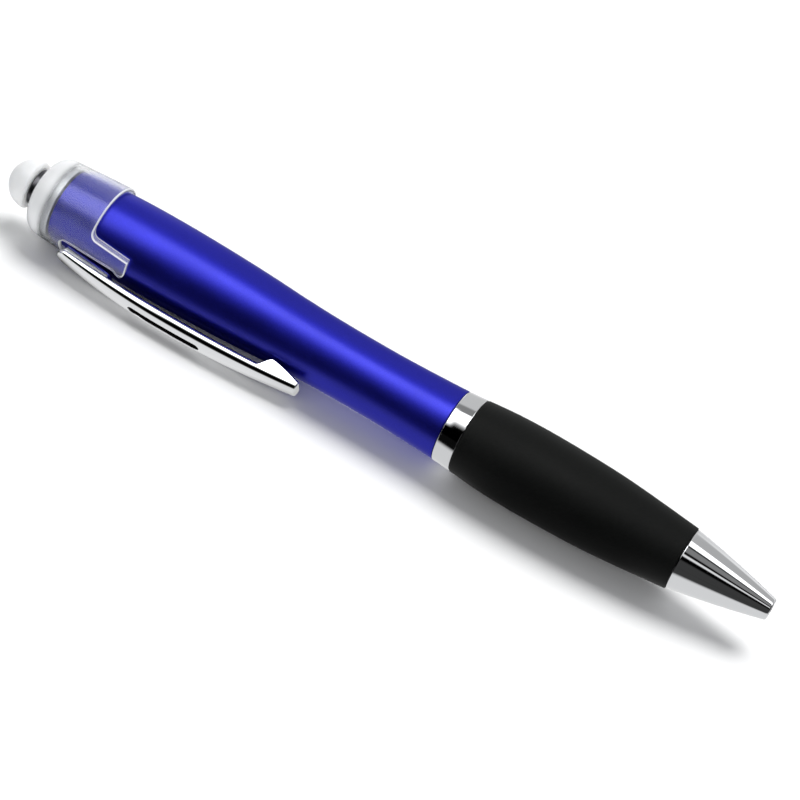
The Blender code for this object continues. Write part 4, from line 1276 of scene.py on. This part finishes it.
def strips_glow(place, strips):
    """A column with the sum of strips of light. Each is (where it starts, how softly, where it stops, how
    softly, its level), in degrees from the front over the top or in millimetres from front to back."""
    glow = np.zeros_like(place)
    for start, start_softness, stop, stop_softness, level in strips:
        enters = rising(place, start - start_softness / 2, start + start_softness / 2)
        leaves = rising(place, stop + stop_softness / 2, stop - stop_softness / 2)
        glow += level * enters * leaves
    return glow[:, None]


def make_tent(material):
    """A half tube over the pen: its glow follows the elevation round the pen's axis and changes towards the
    nose's end and the cap's end. A dark sheet closes it past the nose."""
    elevation = np.linspace(*TENT_ELEVATIONS)
    along = np.linspace(-TENT_HALF_LENGTH, TENT_HALF_LENGTH, TENT_STEPS)
    turn = np.radians(elevation)[:, None]
    points = np.stack(np.broadcast_arrays(along, -TENT_R * np.cos(turn), TENT_R * np.sin(turn)), axis=-1)
    over_barrel = strips_glow(elevation, (SOFT_BOX, BOX_SKIRT, GREY_CEILING, BACK_SHEET))
    over_nose = strips_glow(
        elevation, (NOSE_FRONT, NOSE_LINE, NOSE_CEILING, NOSE_STRIP, NOSE_SHEET, NOSE_BACK),
    )
    over_cap = strips_glow(elevation, (CAP_BOX, GREY_CEILING, BACK_SHEET, CAP_BACK))
    glow = mixed(over_barrel, over_nose, rising(along, *TENT_TO_NOSE))
    glow = mixed(glow, over_cap, rising(along, *TENT_TO_CAP))
    shown_by_gloss("tent", points.reshape(-1, 3), grid_quads(*points.shape[:2]), glow, material)

    x, y, z = TENT_HALF_LENGTH, TENT_R, TENT_R
    corners = [(x, -y, 0.0), (x, y, 0.0), (x, y, z), (x, -y, z)]
    shown_by_gloss("tent_end", corners, ONE_FACE, np.full(len(corners), TENT_END), material)


def make_floor_in_gloss(material):
    """The floor that gloss shows but clear plastic doesn't: pale round the pen and dark further in front,
    with painted shadow under the clip and by the grip, faintly lifted by the nose and dark past it."""
    to_back = np.concatenate([[-FLOOR_HALF / MM], np.linspace(*GLOSS_ROWS), [FLOOR_HALF / MM]])
    along = np.concatenate([[-FLOOR_HALF], np.linspace(*GLOSS_COLUMNS), [FLOOR_HALF]])
    points = np.stack(np.broadcast_arrays(along, MM * to_back[:, None], 0.0), axis=-1)
    beside_nose = strips_glow(to_back, (PALE_FRONT, PALE_SHADE))
    beside_clip = strips_glow(to_back, (PALE_FRONT_REAR, PALE_SHADE, PALE_BACK))
    glow = mixed(beside_nose, beside_clip, rising(along, *CLIP_SIDE_CHANGE))
    glow = glow * (1.0 - GRIP_SHADE * rising(along, *GRIP_SHADE_REAR) * rising(along, *GRIP_SHADE_FRONT))
    glow = glow * (1.0 - END_SHADE * rising(along, *END_SHADE_SPAN))
    glow = glow + NOSE_LIFT * rising(along, *NOSE_LIFT_SPAN)
    faces = grid_quads(*points.shape[:2])
    floor_in_gloss = shown_by_gloss("floor_in_gloss", points.reshape(-1, 3), faces, glow, material)
    floor_in_gloss.visible_transmission = False


def new_sun(name, strength, towards, angle):
    """A wide soft sun in a direction, which gloss doesn't show."""
    data = bpy.data.lights.new(name, "SUN")
    data.energy = strength
    data.angle = angle
    sun = add_object(name, data)
    sun.rotation_euler = Vector(towards).to_track_quat("Z", "Y").to_euler()
    sun.visible_glossy = False


def make_lights():
    """A key sun from above and behind for form and shadow, a low fill from the front, and an even world that
    is white to the camera, in gloss and through clear plastic, and a plain ambient level elsewhere."""
    new_sun("key", KEY_STRENGTH, KEY_FROM, KEY_ANGLE)
    new_sun("fill", FILL_STRENGTH, FILL_FROM, FILL_ANGLE)
    world = bpy.data.worlds.new("studio")
    bpy.context.scene.world = world
    world.use_nodes = True
    world.node_tree.nodes.clear()
    ambient = add_node(world, "Background", Color=AMBIENT_COLOUR, Strength=AMBIENT).outputs["Background"]
    white = add_node(world, "Background", Color=WHITE, Strength=1.0).outputs["Background"]
    rays = add_node(world, "LightPath").outputs
    shown = rays["Is Camera Ray"]
    for ray in ("Is Glossy Ray", "Is Transmission Ray"):
        shown = add_node(world, "Math", {"operation": "MAXIMUM"}, (shown, rays[ray])).outputs["Value"]
    choice = add_node(world, "MixShader", in_order=(shown, ambient, white))
    add_node(world, "OutputWorld", Surface=choice.outputs["Shader"])


make_front_section()
make_refill()
make_return_spring()
make_rear_section()
make_clear_cap()
make_clip_bar()
make_clip_foot()
dress_hidden_nodes()
make_camera()
make_floor()
GLOW = make_glow()
make_tent(GLOW)
make_floor_in_gloss(GLOW)
make_lights()
bpy.context.scene.view_settings.view_transform = "Standard"
